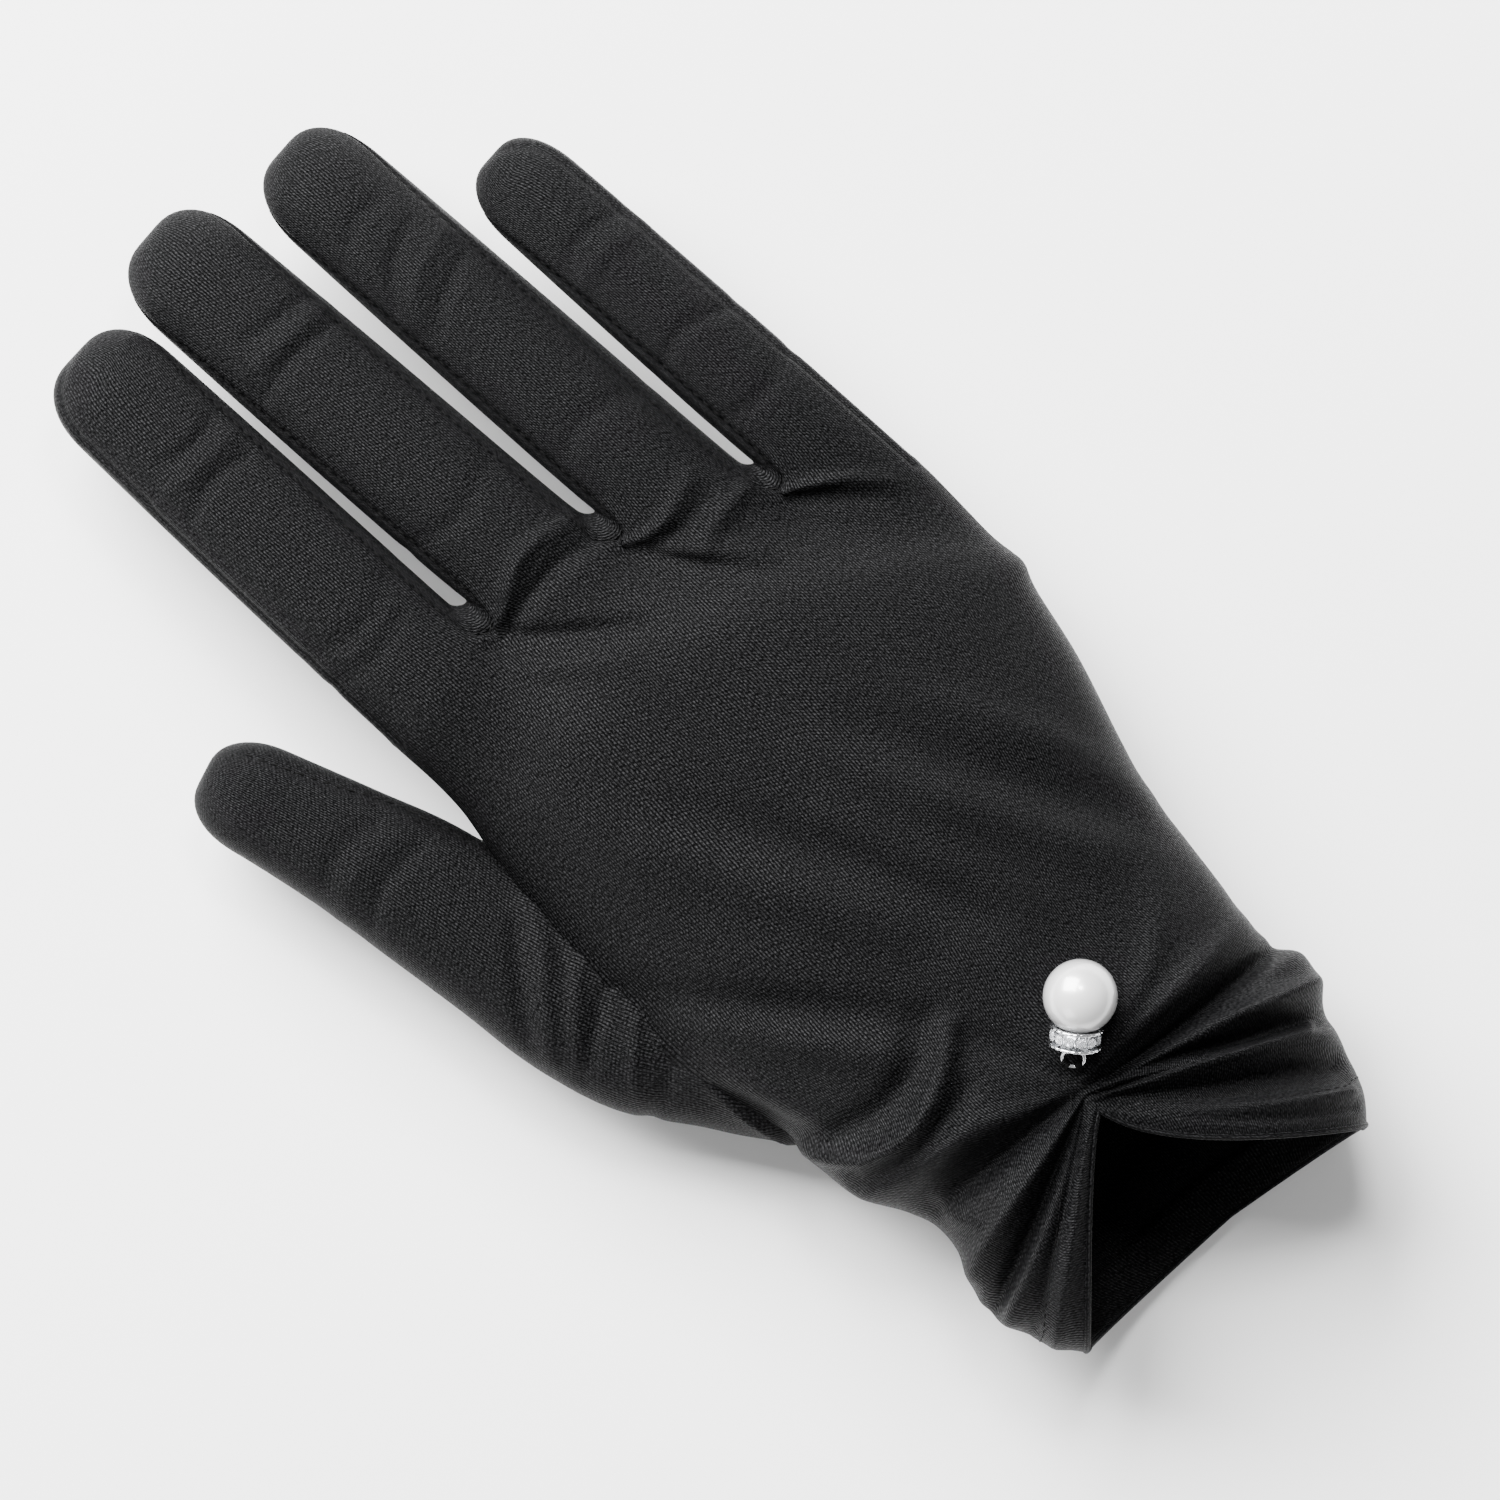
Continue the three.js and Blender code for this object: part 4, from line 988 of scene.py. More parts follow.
UNDER_FOLDS = [
    ((1.0, 3.0, 1.0), (13, 15), [(-30, 34), (-23, 50), (-19, 68)]),
    ((0.8, 2.0, 0.8), (11, 12), [(35, 32), (37, 50), (37, 68)]),
    ((-0.5, -1.6, -0.5), (4, 4), [(-8, 27), (-4, 46), (-8, 64), (-22, 80)]),
    ((-0.4, -1.0, -0.4), (3, 3), [(-30, 86), (-8, 84), (14, 90), (40, 80)]),
    ((-0.4, -0.9, -0.4), (2.5, 2.5), [(-2, 72), (18, 74), (38, 66)]),
    ((-0.5, -1.1, -0.5), (2.2, 2.2), [(-39, 117), (-28, 115), (-17, 117)]),
    ((-0.5, -1.1, -0.5), (2.2, 2.2), [(-15, 118), (-4, 116), (8, 114.5)]),
    ((-0.5, -1.1, -0.5), (2.2, 2.2), [(9, 113), (20, 109), (32, 104)]),
    ((-0.5, -1.0, -0.5), (2.2, 2.2), [(33, 101), (42, 95), (50, 92)]),
    ((-0.3, -0.9, -0.3), (2.2, 2.2), [(-40, 150), (-31, 152), (-21, 150)]),
    ((-0.3, -0.9, -0.3), (2.2, 2.2), [(-15, 154), (-6, 156), (4, 154)]),
    ((-0.3, -0.9, -0.3), (2.2, 2.2), [(11, 147), (19, 149), (28, 147)]),
    ((-0.3, -0.8, -0.3), (2.0, 2.0), [(33, 127), (40, 129), (49, 127)]),
    ((-0.3, -0.9, -0.3), (2.2, 2.2), [(-40, 174), (-31, 176), (-22, 174)]),
    ((-0.3, -0.9, -0.3), (2.2, 2.2), [(-18, 179), (-9, 181), (1, 179)]),
    ((-0.3, -0.9, -0.3), (2.2, 2.2), [(8, 173), (16, 175), (25, 173)]),
    ((-0.3, -0.8, -0.3), (2.0, 2.0), [(33, 150), (39, 152), (46, 150)]),
    ((0.3, 1.0, 0.4), (4, 5), [(-22, 6), (-6, 2), (12, 4), (26, 8)]),
    ((-0.3, -1.0, -0.4), (3, 4), [(-26, 14), (-8, 10), (12, 12), (30, 16)]),
    ((0.3, 0.9, 0.4), (4, 5), [(-26, 21), (-8, 18), (12, 20), (30, 24)]),
    ((-0.3, -0.8, -0.3), (3, 4), [(-20, -8), (0, -4), (20, -8)]),
    ((0.3, 0.7, 0.3), (4, 5), [(-20, -16), (0, -12), (20, -16)]),
]
print(
    "Folds:", len(GATHER_FOLDS), "from the gather,", len(BACK_FOLDS), "on the back,",
    len(FINGER_FOLDS) + len(THUMB_FOLDS), "on fingers and thumb,", len(UNDER_FOLDS), "below",
)

# %% [markdown]
# The folds of the back run over the sides and die out below them, where the palm's own
# folds take over. A seam is a groove with a faint welt on both sides of it.

# %% Draping the cloth over the form
GATHER_RELIEF = 1.7
BACK_RELIEF = 1.25
FINGER_RELIEF = 0.95
SEAM_DEPTH = 0.45
SEAM_WIDTH = 0.6
WELT_HEIGHT = 0.12
WEB_WELT = 0.55
WELT_WIDTH = 0.8
SIDE_SEAM = 4.2
SEAM_REACH = 6.0
SHORTEST_RUN = 0.02
WEB_WIDTH = 6.0
SIDE_FADE = (-15.0, 2.0)
SIDE_CALM = 0.45
UPRIGHT_FADE = (0.0, 0.5)
FILLET_FADE = (-20.0, -38.0)


def seam(distance, near_web):
    """Height beside a seam: a narrow groove and a low welt two widths away from it,
    which stands higher near a web."""
    groove = SEAM_DEPTH * np.exp(-((distance / SEAM_WIDTH) ** 2))
    welt = np.exp(-(((distance - 2 * WELT_WIDTH) / WELT_WIDTH) ** 2))
    return (WELT_HEIGHT + WEB_WELT * near_web) * welt - groove


def draped(grid, seams=0.0):
    """A grid's points moved along their outward directions by the folds, the fillet at
    the thumb and the seams. The gather's folds are calmer on the upright sides."""
    point, out = grid["point"], grid["out"]
    above = smoothstep(point[..., 2] - middle_height(point[..., 1]), *SIDE_FADE)
    calm = SIDE_CALM + (1 - SIDE_CALM) * smoothstep(np.abs(out[..., 2]), *UPRIGHT_FADE)
    top = GATHER_RELIEF * calm * heights_of(GATHER_FOLDS, point)
    top = top + BACK_RELIEF * heights_of(BACK_FOLDS, point)
    top = top + FINGER_RELIEF * heights_of(FINGER_FOLDS, point)
    under = heights_of(UNDER_FOLDS, point)
    swell = fillet(thumb_gap(point)) * smoothstep(point[..., 0], *FILLET_FADE)
    high = above * top + (1 - above) * under + swell + seams
    return point + out * high[..., None]


# %% [markdown]
# The seams run where the glove is sewn: round each web from tip to tip, down both sides
# of the hand, and up the outer sides of the index finger and the little finger.


# %% The seams of the panels
def side_line(grid, column, arc):
    """A line up a finger at a length of arc from its edge, for a side seam."""
    rows = grid["point"] if column == 0 else grid["point"][:, ::-1]
    length = np.cumsum(np.linalg.norm(np.diff(rows, axis=1), axis=-1), axis=1)
    pick = (length < np.minimum(arc, length[:, -1:] / 2)).sum(axis=1)
    return rows[np.arange(len(rows)), pick]


def seam_lines(fingers):
    """The seams of a panel: round each web from tip to tip."""
    pairs = zip(fingers[:-1], fingers[1:])
    return [np.concatenate([a["point"][::-1, -1], b["point"][1:, 0]]) for a, b in pairs]


def web_strength(point, fingers):
    """How near points are to a web: a bell curve of the distance from each one."""
    webs = [grid["point"][0, -1] for grid in fingers[:-1]]
    near = [np.exp(-((np.linalg.norm(point - web, axis=-1) / WEB_WIDTH) ** 2)) for web in webs]
    return np.sum(near, axis=0)


def seamed(point, lines, fingers):
    """Height of the seams' grooves and welts at the points of a grid."""
    gaps = []
    for line in lines:
        apart = np.linalg.norm(np.diff(line, axis=0), axis=1) > SHORTEST_RUN
        gaps.append(to_line(point, line[np.append(True, apart)], SEAM_REACH)[0])
    return seam(np.min(gaps, axis=0), web_strength(point, fingers))


def columns_of(number):
    """The columns of the palm's web row that a finger's grid starts from."""
    first = sum(COLUMN_COUNTS[:number])
    return slice(first, first + COLUMN_COUNTS[number] + 1)


def draped_panel(palm, fingers, extra):
    """All grids of a panel in their final shape, with grooves along their seams."""
    sides = [palm["point"][:, 0], palm["point"][:, -1]]
    lines = seam_lines(fingers) + sides + extra
    result = [draped(palm, seamed(palm["point"], lines, fingers))]
    for grid in fingers:
        room = rounding(grid["along"], TIP_START)
        result.append(draped(grid, room * seamed(grid["point"], lines, fingers)))
    for number, grid in enumerate(result[1:]):
        grid[0] = result[0][-1, columns_of(number)]
    return result


outer_seams = [side_line(back_fingers[n], c, SIDE_SEAM) for n, c in ((0, 0), (3, -1))]
back_grids = draped_panel(back_palm, back_fingers, outer_seams)
under_grids = draped_panel(under_palm, under_fingers, [])
reach_of_back = np.ptp(np.concatenate([grid.reshape(-1, 3) for grid in back_grids]), axis=0)
print("Back panel spans", np.round(reach_of_back, 1))

# %% [markdown]
# A seam is two cut edges in one place. The draping moved each grid by its own outward
# directions, so the edges are now put on each other again, point for point, before the
# meshes are made.

# %% Closing the seams
under_grids[0][:, [0, -1]] = back_grids[0][:, [0, -1]]
for back_grid, under_grid, number in zip(back_grids[1:], under_grids[1:], range(4)):
    left = 0 if number == 0 else strip_rows(number) - 1
    right = 0 if number == 3 else strip_rows(number) - 1
    under_grid[left:, 0] = back_grid[left:, 0]
    under_grid[right:, -1] = back_grid[right:, -1]
    under_grid[-1] = back_grid[-1]
strip_grids = []
for number, grid in enumerate(strips):
    point = draped(grid)
    rows, others = strip_rows(number), strip_rows(number + 1)
    point[:rows, 0] = back_grids[1 + number][:rows][::-1, -1]
    point[:rows, -1] = under_grids[1 + number][:rows][::-1, -1]
    point[rows - 1 :, 0] = back_grids[2 + number][:others, 0]
    point[rows - 1 :, -1] = under_grids[2 + number][:others, 0]
    strip_grids.append(point)


# %% [markdown]
# Wales, the fine ribs of the knit, run along the hand and bend with the cloth. So the
# UV map counts millimetres of cloth: across the columns at the knuckles, and along
# each column from the web row.


# %% UV maps in millimetres of cloth
def cloth_map(point, base_row=0):
    """U is the length along one chosen row and V the length along each column from
    that row, both in millimetres."""
    v = lengths(point)
    v = v - v[base_row]
    return np.stack([np.broadcast_to(lengths(point[base_row]), v.shape), v], axis=-1)


def panel_maps(grids, plain):
    """Maps of the palm and the fingers that agree on the web row."""
    maps = [cloth_map(plain, -1)]
    for number, grid in enumerate(grids[1:]):
        part = cloth_map(grid)
        part[..., 0] = maps[0][-1, columns_of(number), 0]
        maps.append(part)
    return maps


back_maps = panel_maps(back_grids, back_palm["point"])
under_maps = panel_maps(under_grids, under_palm["point"])
print("Cloth of the back panel:", np.round(np.ptp(back_maps[0].reshape(-1, 2), axis=0)), "mm")

# %% [markdown]
# A shader node group is made once and placed in each material that needs it. All the
# groups and materials here are put together by the same few helpers.


# %% Shader helpers
def node(tree, kind, place, **settings):
    """Adds a node of a kind to a tree and sets its properties."""
    made = tree.nodes.new(kind)
    made.location = place
    for name, value in settings.items():
        setattr(made, name, value)
    return made


def maths(tree, operation, place, *values):
    """A Math node whose inputs are sockets or numbers; returns its output."""
    made = node(tree, "ShaderNodeMath", place, operation=operation)
    for socket, value in zip(made.inputs, values):
        if isinstance(value, (int, float)):
            socket.default_value = value
        else:
            tree.links.new(value, socket)
    return made.outputs[0]


def new_group(name, inputs, outputs):
    """An empty shader node group with named sockets, and its two end nodes."""
    tree = bpy.data.node_groups.new(name, "ShaderNodeTree")
    for way, sockets in (("INPUT", inputs), ("OUTPUT", outputs)):
        for socket, kind in sockets.items():
            tree.interface.new_socket(name=socket, in_out=way, socket_type=f"NodeSocket{kind}")
    ends = ("NodeGroupInput", (-900, 0)), ("NodeGroupOutput", (700, 0))
    return tree, *(node(tree, kind, place) for kind, place in ends)


def noise_node(tree, place, scale, detail=2.0):
    """A Noise Texture with a scale and detail."""
    noise = node(tree, "ShaderNodeTexNoise", place)
    noise.inputs["Scale"].default_value = scale
    noise.inputs["Detail"].default_value = detail
    return noise


def add_bump(tree, shader, height, strength, distance):
    """A Bump node between a height socket and the shader's normal."""
    bump = node(tree, "ShaderNodeBump", (-300, -200))
    bump.inputs["Strength"].default_value = strength
    bump.inputs["Distance"].default_value = distance * MM
    tree.links.new(height, bump.inputs["Height"])
    tree.links.new(bump.outputs[0], shader.inputs["Normal"])


def new_material(name, **sockets):
    """A material with one Principled BSDF and its plain values."""
    material = bpy.data.materials.new(name)
    material.use_nodes = True
    shader = material.node_tree.nodes["Principled BSDF"]
    for socket, value in sockets.items():
        shader.inputs[socket.replace("_", " ")].default_value = value
    return material, material.node_tree, shader


def colour_between(tree, factor, place, dark, light):
    """A colour that goes from dark to light with a factor."""
    mix = node(tree, "ShaderNodeMix", place, data_type="RGBA")
    tree.links.new(factor, mix.inputs["Factor"])
    mix.inputs["A"].default_value = (*dark, 1)
    mix.inputs["B"].default_value = (*light, 1)
    return mix.outputs["Result"]


# %% [markdown]
# Satin knit is a fine rib. Its wales, half a millimetre apart, are broken into short
# loops by its courses. The pattern is a node group, because the colour, the roughness
# and the bump all read it. It takes the cloth's UV map, so it bends with the cloth.

# %% The knit
WALE_PITCH = 0.52
WALE_POWER = 0.6
COURSE_PITCH = 0.68
COURSE_LEAN = 1.9
COURSE_SHARE = 0.35
FLECK_SCALE = 2.6
FLECK_STRETCH = (1.6, 0.7, 1)


def knit_group():
    """Group 'knit': Ribs is the height of the loops, |sin|^0.6 across the wales times
    a gentler |sin| along them, and Fleck is a fine unevenness of the yarn."""
    outputs = {"Ribs": "Float", "Fleck": "Float"}
    tree, given, result = new_group("knit", {"Cloth": "Vector"}, outputs)
    axes = node(tree, "ShaderNodeSeparateXYZ", (-700, 0))
    tree.links.new(given.outputs[0], axes.inputs[0])
    u, v = axes.outputs[:2]
    across = maths(tree, "MULTIPLY", (-500, 200), u, float(np.pi / WALE_PITCH))
    wave = maths(tree, "ABSOLUTE", (-200, 200), maths(tree, "SINE", (-350, 200), across))
    ribs = maths(tree, "POWER", (-50, 200), wave, WALE_POWER)
    lean = maths(tree, "MULTIPLY", (-500, -100), u, COURSE_LEAN)
    along = maths(tree, "MULTIPLY", (-500, 0), v, float(np.pi / COURSE_PITCH))
    shifted = maths(tree, "ADD", (-350, 0), along, lean)
    loops = maths(tree, "ABSOLUTE", (-50, 0), maths(tree, "SINE", (-200, 0), shifted))
    soft = maths(tree, "MULTIPLY_ADD", (100, 0), loops, COURSE_SHARE, 1 - COURSE_SHARE)
    tree.links.new(maths(tree, "MULTIPLY", (300, 100), ribs, soft), result.inputs["Ribs"])
    stretch = node(tree, "ShaderNodeMapping", (-400, -300))
    stretch.inputs["Scale"].default_value = FLECK_STRETCH
    noise = noise_node(tree, (-200, -300), FLECK_SCALE)
    tree.links.new(given.outputs[0], stretch.inputs[0])
    tree.links.new(stretch.outputs[0], noise.inputs["Vector"])
    tree.links.new(noise.outputs["Fac"], result.inputs["Fleck"])
    return tree


knit = knit_group()
print("Group", knit.name, "with", len(knit.nodes), "nodes")

# %% [markdown]
# Black satin is nearly as dark as velvet between its ribs and catches the light on top
# of them. Here that glint is painted into the colour: one shade, the ribs times the
# flecks, lightens the rib tops as a painted highlight, leaves the grooves black as
# painted shade, and smooths the gloss there too. The specular level is very low: the
# cloth's shine is broad, not wet.

# %% The satin
# The two satin colours: the cloth's black, which the grooves keep as painted shade, and a painted
# glint for the rib tops.
SATIN_DARK = (0.0004, 0.0004, 0.0005)
SATIN_PAINTED_GLINT = (0.022, 0.022, 0.023)
FLECK_GAIN = (4.6, -1.85)
RIB_CONTRAST = 2.2
GLOSS = (-0.3, 0.54)
SATIN_BUMP = (0.7, 0.22)
FLECK_BUMP = 0.9


def satin_material():
    """Black stretch satin: ribs in the bump, and ribs and flecks in the roughness and in the
    colour, where they paint a glint on the rib tops and shade in the grooves.
    """
    material, tree, shader = new_material("black_satin", Specular_IOR_Level=0.035)
    place = node(tree, "ShaderNodeUVMap", (-1200, 0), uv_map="cloth")
    weave = node(tree, "ShaderNodeGroup", (-950, 0), node_tree=knit)
    tree.links.new(place.outputs[0], weave.inputs[0])
    ribs, fleck = weave.outputs["Ribs"], weave.outputs["Fleck"]
    level = maths(tree, "MULTIPLY_ADD", (-700, 200), fleck, *FLECK_GAIN)
    level.node.use_clamp = True
    deep = maths(tree, "POWER", (-600, 350), ribs, RIB_CONTRAST)
    shade = maths(tree, "MULTIPLY", (-500, 200), level, deep)
    # Painted highlight: the colour lightens on the rib tops where light would catch, and the
    # grooves stay black as painted shade.
    colour = colour_between(tree, shade, (-300, 300), SATIN_DARK, SATIN_PAINTED_GLINT)
    tree.links.new(colour, shader.inputs["Base Color"])
    rough = maths(tree, "MULTIPLY_ADD", (-300, 0), shade, *GLOSS)
    tree.links.new(rough, shader.inputs["Roughness"])
    height = maths(tree, "MULTIPLY_ADD", (-500, -200), fleck, FLECK_BUMP, ribs)
    add_bump(tree, shader, height, *SATIN_BUMP)
    return material


satin = satin_material()
print("Material", satin.name, "with ribs", WALE_PITCH, "mm apart")

# %% [markdown]
# The cloth gets its thickness from a Solidify modifier, which grows the wall inwards
# from the surface that was worked out. The faces that lie deep inside the thumb, or
# inside the hand on the thumb's own sleeve, are left out: there is the thumb's opening.

# %% The cloth pieces
CLOTH_WALL = 0.9
OPENING_DEPTH = 2.6
OPENING_SIDE = -24


def cloth_piece(name, node_name, grids, maps, keeps=None, wrap=False, flip=False):
    """A piece of satin with its wall thickness, in the place of a CAD node."""
    piece = surface(name, grids, maps, keeps, wrap, flip)
    give_wall(piece, CLOTH_WALL)
    finish_piece(piece, "satin", satin, node_name)


def outside_thumb(grids):
    """Marks the points of the hand that don't lie deep inside the thumb."""
    return [(thumb_gap(g) > -OPENING_DEPTH) | (g[..., 0] > OPENING_SIDE) for g in grids]


back_keep, under_keep = outside_thumb(back_grids), outside_thumb(under_grids)
cloth_piece("satin_back", "back_panel", back_grids, back_maps, back_keep)
cloth_piece("satin_palm", "palm_panel", under_grids, under_maps, under_keep, flip=True)
for number, grid in enumerate(strip_grids):
    pair = f"{FINGER_NAMES[number]}_{FINGER_NAMES[number + 1]}"
    strip_map = cloth_map(grid, len(grid) // 2)
    cloth_piece(f"satin_{pair}", f"{pair}_fourchette", [grid], [strip_map], flip=True)


# %% [markdown]
# The thumb's sleeve has one seam, which runs up its inner side. Its folds lie on the
# upper side only, where the photograph shows them, and its foot swells where it comes
# out of the hand. Its faces deep inside the hand are left out.

# %% The thumb's sleeve
SLEEVE_DEPTH = 3.2
THUMB_GROOVE = ((-0.5, -0.5, -0.5), (0.9, 0.9))
UPPER_FADE = (-14, -6)
THUMB_SEAM = [(-57.7, 133), (-52.5, 122), (-46.4, 110.5), (-42.3, 97.7)]
thumb_point = thumb["point"]
thumb_z = thumb_point[..., 2]
thumb_high = heights_of(THUMB_FOLDS, thumb_point) * smoothstep(thumb_z, *UPPER_FADE)
thumb_groove = crest(thumb_point[..., :2], *THUMB_GROOVE, THUMB_SEAM)
thumb_high = thumb_high + thumb_groove * (thumb_z > THUMB_ROOT[2])
thumb_high = thumb_high + fillet(hand_gap(thumb_point))
thumb_grid = thumb_point + thumb["out"] * thumb_high[..., None]
thumb_keep = [hand_gap(thumb_point) > -SLEEVE_DEPTH]
thumb_map = [cloth_map(thumb_grid, len(thumb_grid) // 2)]
cloth_piece("satin_thumb", "thumb_piece", [thumb_grid], thumb_map, thumb_keep, True, True)

# %% [markdown]
# Round things such as wire, thread and the hem's edge are tubes: a circle carried along
# a path, square to it. Their circles start from two directions worked out from the
# path's own direction, so a smooth path gives a smooth tube.


# %% Tubes along a path
OFF_SKY = 0.01


def resampled(path, pitch):
    """Points of a path at equal steps of about the given length."""
    length = lengths(path)
    at = np.linspace(0, length[-1], max(2, int(round(length[-1] / pitch)) + 1))
    return np.stack([np.interp(at, length, path[:, k]) for k in range(3)], axis=-1)


def circle(count, first, second):
    """Points round a unit circle in the plane of two directions."""
    turn = np.linspace(0, 2 * np.pi, count, endpoint=False)[None, :, None]
    return np.cos(turn) * first[:, None] + np.sin(turn) * second[:, None]


def tube(path, radius, sides=10, closed=False):
    """A round tube along a path: circles of the radius, square to its direction. A
    closed path ends where it starts, and so does its tube."""
    ends = (path[-2:-1], path[1:2]) if closed else (path[:1], path[-1:])
    padded = np.concatenate([ends[0], path, ends[1]])
    way = unit(padded[2:] - padded[:-2])
    side = unit(np.cross(way, SKY + OFF_SKY))
    grid = path[:, None] + radius * circle(sides, side, np.cross(side, way))
    if closed:
        grid[-1] = grid[0]
    return grid


print("A tube on 5 points:", tube(np.outer(np.arange(5.0), SKY), 1.0).shape)


# %% [markdown]
# The hem is turned under and sewn. Its edge is a soft roll, made as a tube along the
# panels' first rows, half a wall inside them.

# %% The hem's edge
HEM_ROLL = 0.62
HEM_STEP = 0.8
hem_sides = zip((back_grids[0], under_grids[0]), (back_palm["out"], under_palm["out"]))
hem_back, hem_under = (grid[0] - CLOTH_WALL / 2 * out[0] for grid, out in hem_sides)
hem_path = np.concatenate([hem_back, hem_under[::-1][1:]])
hem_tube = tube(resampled(hem_path, HEM_STEP), HEM_ROLL, closed=True)
hem_edge = surface("hem_edge", [hem_tube], [cloth_map(hem_tube)], wrap=True, flip=True)
finish_piece(hem_edge, "satin", satin)

# %% [markdown]
# The cloth turned under shows inside the cuff's open mouth. It follows the panel from
# the edge to the line of stitches, one wall further in.

# %% The cloth turned under
HEM_DEPTH = 7.5
HEM_CLOTH = 0.5
HEM_GAP = 0.1
HEM_SHARES = np.linspace(0.04, 1.0, 9)


def row_at(grid, out, distance):
    """The line at a distance from a grid's first row, measured along each column."""
    length = lengths(grid)
    row = np.argmax(length > distance, axis=0)
    pick = np.arange(grid.shape[1])
    share = (distance - length[row - 1, pick]) / (length[row, pick] - length[row - 1, pick])
    return lerp(grid[row - 1, pick], grid[row, pick], share[:, None]), out[row, pick]


def hem_fold(grid, out):
    """Rows of the turned cloth, each at a share of the hem's depth from the edge."""
    rows = [row_at(grid, out, HEM_DEPTH * share) for share in HEM_SHARES]
    return np.stack([line - (CLOTH_WALL + HEM_GAP) * line_out for line, line_out in rows])


for name, grid, out in (
    ("back", back_grids[0], back_palm["out"]),
    ("palm", under_grids[0], under_palm["out"]),
):
    fold_grid = hem_fold(grid, out)
    fold = surface(f"hem_fold_{name}", [fold_grid], [cloth_map(fold_grid)], flip=name == "palm")
    give_wall(fold, HEM_CLOTH)
    finish_piece(fold, "satin", satin)


# %% [markdown]
# Several parts here have a grain too fine to see as a pattern: thread, pearl, metal,
# glass and paper. They share a node group with one soft noise on Object coordinates,
# and each lets it move its colour between two tones.


# %% The grain and the thread
def grain_group():
    """Group 'grain': Tone is a soft noise with Scale waves to the metre."""
    inputs = {"Place": "Vector", "Scale": "Float"}
    tree, given, result = new_group("grain", inputs, {"Tone": "Float"})
    noise = noise_node(tree, (-200, 0), 1.0)
    tree.links.new(given.outputs["Place"], noise.inputs["Vector"])
    tree.links.new(given.outputs["Scale"], noise.inputs["Scale"])
    tree.links.new(noise.outputs["Fac"], result.inputs["Tone"])
    return tree


def grain_tone(tree, scale):
    """The grain group's tone in a material, on Object coordinates."""
    place = node(tree, "ShaderNodeTexCoord", (-900, 0))
    made = node(tree, "ShaderNodeGroup", (-700, 0), node_tree=grain)
    made.inputs["Scale"].default_value = scale
    tree.links.new(place.outputs["Object"], made.inputs["Place"])
    return made.outputs["Tone"]


def grained_material(name, scale, dark, light, **sockets):
    """A material whose colour goes from dark to light with the grain."""
    material, tree, shader = new_material(name, **sockets)
    tone = grain_tone(tree, scale)
    colour = colour_between(tree, tone, (-400, 100), dark, light)
    tree.links.new(colour, shader.inputs["Base Color"])
    return material, tree, shader, tone


THREAD_BUMP = (0.5, 0.05)
grain = grain_group()
thread, thread_tree, thread_shader, thread_tone = grained_material(
    "black_thread",
    scale=2600,
    dark=(0.001, 0.001, 0.001),
    light=(0.008, 0.008, 0.008),
    Roughness=0.6,
    Specular_IOR_Level=0.04,
)
add_bump(thread_tree, thread_shader, thread_tone, *THREAD_BUMP)
print("Material", thread.name, "with group", grain.name)

# %% [markdown]
# The stitches are short threads that dip into the cloth at both ends. They run round
# the hem, outside and inside, along both panels' edges beside each strip between the
# fingers, and up the thumb. They are many, so each one has only a few dozen faces.

# %% One stitch
STITCH_PITCH = 2.2
STITCH_LENGTH = 1.5
STITCH_RADIUS = 0.15
STITCH_SIDES = 6
STITCH_RINGS = np.linspace(-1, 1, 7)[:, None]
ROUND_END = 0.98
UPPER_SIDE = 0.1
LAID_STEP = 1.0
NEAREST = 4


def stitch_grids(path, out):
    """Short threads along a path, each a capsule: its middle line is an arc that stands
    a quarter of the radius high in the middle and as much low at the ends, and its
    radius is a half ellipse along it."""
    at = resampled(path, STITCH_PITCH)
    way = unit(np.gradient(at, axis=0))
    girth = STITCH_RADIUS * np.sqrt(1 - ROUND_END * STITCH_RINGS**2)
    arc = (0.25 - 0.5 * STITCH_RINGS**2) * STITCH_RADIUS
    grids = []
    for place, along in zip(at[:-1], way[:-1]):
        up = out[np.linalg.norm(path - place, axis=1).argmin()]
        ring = circle(STITCH_SIDES, np.cross(along, up)[None], up[None])
        middle = place + STITCH_RINGS * along * STITCH_LENGTH / 2 + arc * up
        grids.append(middle[:, None] + girth[:, None] * ring)
    return grids


def over(line, grid, out):
    """A line of the plan laid on a grid's upper side, with the directions there."""
    rows = resampled(np.array([(*place, 0.0) for place in line]), LAID_STEP)[:, :2]
    upper, upper_out = (values[out[..., 2] > UPPER_SIDE] for values in (grid, out))
    gap = np.linalg.norm(rows[:, None] - upper[None, :, :2], axis=-1)
    best = np.argsort(gap, axis=1)[:, :NEAREST]
    height = upper[best][..., 2].mean(axis=1)
    return np.column_stack([rows, height]), upper_out[best[:, 0]]


# %% All the stitches
stitch_lines, finger_lines = [], []
for grids, palm, fingers in (
    (back_grids, back_palm, back_fingers),
    (under_grids, under_palm, under_fingers),
):
    line, line_out = row_at(grids[0], palm["out"], HEM_DEPTH)
    inside = CLOTH_WALL + HEM_CLOTH + HEM_GAP
    stitch_lines += [(line, line_out), (line - inside * line_out, -line_out)]
    for number, column in ((0, -2), (1, 1), (1, -2), (2, 1), (2, -2), (3, 1)):
        shown = fingers[number]["along"][:, column] < TIP_START
        line_out = fingers[number]["out"][shown, column]
        finger_lines.append((grids[1 + number][shown, column], line_out))
stitch_lines += [*finger_lines, over(THUMB_SEAM, thumb_grid, thumb["out"])]
stitches = [grid for line, line_out in stitch_lines for grid in stitch_grids(line, line_out)]
finish_piece(surface("stitches", stitches, wrap=True, flip=True), "thread", thread)
print(len(stitches), "stitches on", len(stitch_lines), "lines")

# %% [markdown]
# The charm is a pearl on a wire pin, over a metal ring set with cut stones, and its eye
# is sewn to the gather. It lies tilted on the cloth, so its parts are turned shapes in
# the charm's own frame, read from where the frame has the pearl.

